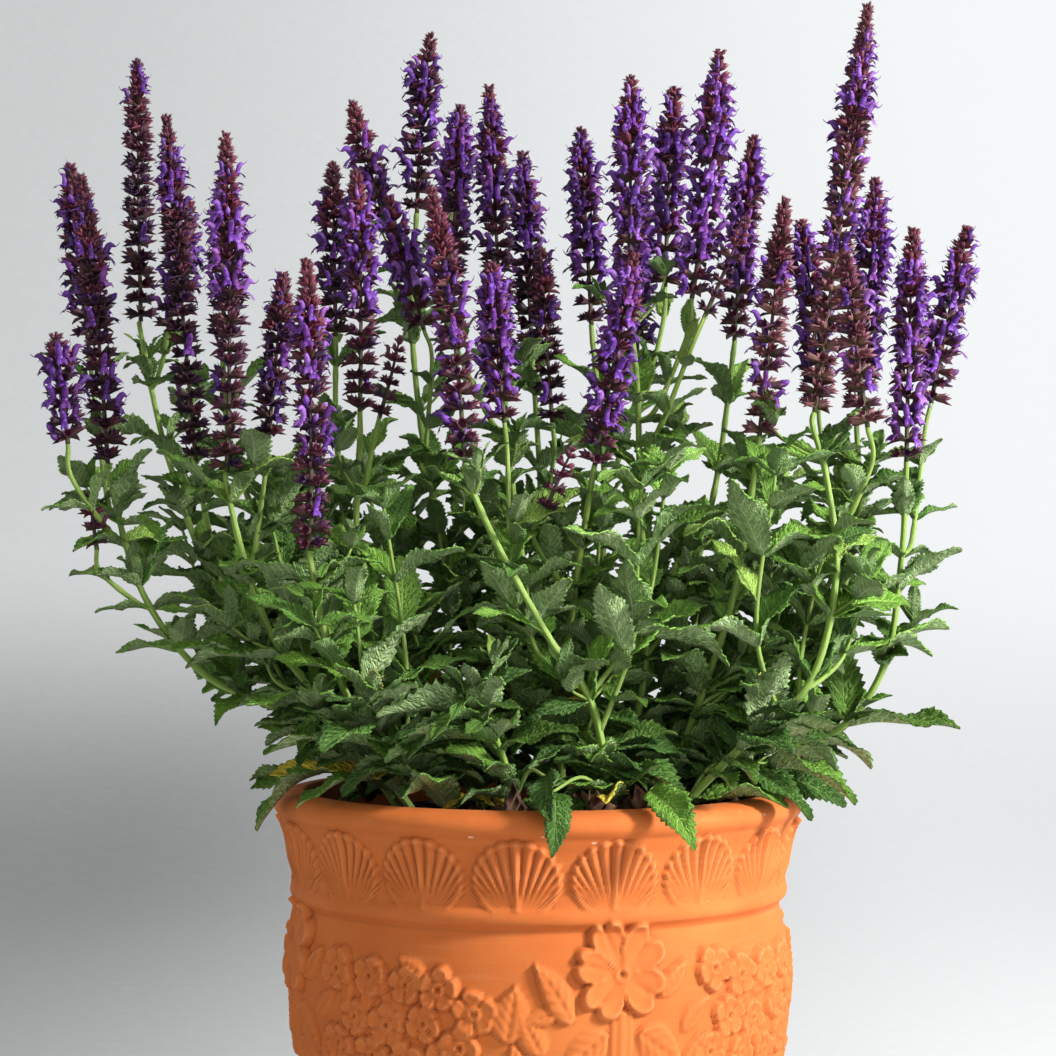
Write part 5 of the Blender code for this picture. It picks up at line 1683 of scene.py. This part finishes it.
def make_plant():
    for index, shoot in enumerate(SHOOTS):
        label = f"{index + 1:02d}"
        shape, buds = make_shoot(index, shoot)
        rng = random.Random(BUD_SEED + index)
        bud_shape = Shape()
        for base, tip in buds:
            sunk = base - 0.002 * unit(tip - base)
            grow_spike(bud_shape, rng, sunk, tip, CLOSED_LOOK, 0.92)
        if buds:
            shape.add(*bud_shape.frozen(), slot=2)
        stem = shape.build(f"shoot_{label}", [stem_skin, leaf_skin, calyx_skin])
        finish_piece(stem, f"leafy_stem_{label}")
        spikes = [(label, shoot["spike"])]
        for k, side in enumerate(shoot.get("side", ())):
            spikes.append((f"{label}_side_{k + 1}", side[1:]))
        for k, (tag, (foot, top)) in enumerate(spikes):
            shape = Shape()
            rng = random.Random(SPIKE_SEED + index * 10 + k)
            grow_spike(shape, rng, place(foot), place(top), LOOKS[tag], FULLNESS)
            spike = shape.build(f"spike_{tag}", [calyx_skin, petal_skin])
            finish_piece(spike, f"flower_spike_{tag}")
    for index, shoot in enumerate(LEAFY_SHOOTS):
        label = f"{index + 1:02d}"
        leafy = make_leafy(index, shoot).build(f"leafy_{label}", [stem_skin, leaf_skin])
        finish_piece(leafy, f"leafy_shoot_{label}")


make_plant()


# ---- floor, light and camera ----

CAMERA_RISE = 0.157
CAMERA_DISTANCE = 1.70
CAMERA_ACROSS = -0.0064
LENS_MM = 95.6
BOWL_RADIUS = 4.2
BOWL_HEIGHT = 4.6
BOWL_FLOOR = 1.5
# Painted light: how brightly the backdrop glows on its wall and on its floor, from left to right.
WALL_PAINTED_LIGHT = (0.44, 0.78)
FLOOR_PAINTED_LIGHT = (0.04, 0.62)
SKY_COLOUR, SKY_STRENGTH = (0.95, 0.98, 1.0, 1.0), 0.07
# Each: name, place, what it faces, size in metres, watts, spread in degrees.
SOFTBOXES = (
    ("key_softbox", (1.88, -0.98, 1.35), (0.0, 0.0, 0.40), 0.50, 17.0, 80),
    ("fill_softbox", (-1.2, -2.3, 1.2), (0.0, 0.0, 0.40), 1.4, 0.8, 90),
    ("top_softbox", (0.5, 0.3, 2.4), (0.0, 0.0, 0.3), 1.2, 3.5, 80),
)


def make_backdrop():
    """A pale floor that curves up all round into a wall, so that no horizon shows."""
    profile = [(0.0, 0.0), (0.4, 0.0), (0.9, 0.0), (BOWL_FLOOR, 0.0)]
    bend = BOWL_RADIUS - BOWL_FLOOR
    for k in range(1, 25):
        a = k / 24 * math.pi / 2
        profile.append((BOWL_FLOOR + bend * math.sin(a), bend * (1 - math.cos(a))))
    profile.append((BOWL_RADIUS, BOWL_HEIGHT))
    columns = 96
    shape = Shape()
    angle = np.arange(columns) * 2 * math.pi / columns
    rings = np.array([[(max(r, 0.01) * math.cos(a), max(r, 0.01) * math.sin(a), z - 0.0005)
                       for a in angle] for r, z in profile])
    quads, uvs = grid_quads(len(profile), columns, True)
    shape.add(rings.reshape(-1, 3), quads[:, ::-1], uvs[:, ::-1],
              [list(range(0, columns, 32))], [((0, 0), (0.5, 0), (0.5, 0.5))])
    n = Nodes("pale_backdrop")
    x, _, z = n.parts(n.place())
    fibre = n.noise(n.place(), 60.0, 3.0)
    # Painted light: the backdrop glows, more to the right and higher up, in place of a studio
    # sweep lit from that side.
    on_wall = n.steps(x, -1.2, 1.0, *WALL_PAINTED_LIGHT)
    on_floor = n.steps(x, -0.55, 0.55, *FLOOR_PAINTED_LIGHT)
    rise = n.steps(z, -0.02, 0.40)
    painted_light = n.math("ADD", n.times(on_wall, rise),
                  n.times(on_floor, n.math("SUBTRACT", 1.0, rise)))
    n.set(Base_Color=n.ramp(fibre, ((0.3, (0.31, 0.314, 0.31)), (0.7, (0.34, 0.344, 0.34)))),
          Roughness=n.steps(fibre, 0.3, 0.7, 0.85, 0.95), Normal=n.bump(fibre, 0.0006, 0.2),
          Emission_Color=n.tinted((0.97, 0.99, 1.0), n.vector(painted_light, painted_light, painted_light)))
    n.set(Emission_Strength=1.0, Specular_IOR_Level=0.1)
    backdrop = shape.build("backdrop", [n.material])


def add_area(name, at, aim, size, watts, spread):
    data = bpy.data.lights.new(name, "AREA")
    data.shape = "DISK"
    data.size = size
    data.energy = watts
    data.spread = math.radians(spread)
    light = bpy.data.objects.new(name, data)
    light.location = at
    light.rotation_euler = (Vector(aim) - Vector(at)).to_track_quat("-Z", "Y").to_euler()
    light.visible_camera = False
    bpy.context.scene.collection.objects.link(light)


make_backdrop()
for softbox in SOFTBOXES:
    add_area(*softbox)
world = bpy.data.worlds.new("studio")
bpy.context.scene.world = world
world.use_nodes = True
sky = world.node_tree.nodes["Background"]
sky.inputs["Color"].default_value = SKY_COLOUR
sky.inputs["Strength"].default_value = SKY_STRENGTH

camera_data = bpy.data.cameras.new("camera")
camera_data.lens = LENS_MM
camera_data.sensor_width = 36.0
camera = bpy.data.objects.new("camera", camera_data)
camera.location = (CAMERA_ACROSS, -CAMERA_DISTANCE, POT_HEIGHT + CAMERA_RISE)
camera.rotation_euler = (math.pi / 2, 0.0, 0.0)
bpy.context.scene.collection.objects.link(camera)
bpy.context.scene.camera = camera
bpy.context.scene.view_settings.view_transform = "Standard"
bpy.context.scene.view_settings.look = "None"
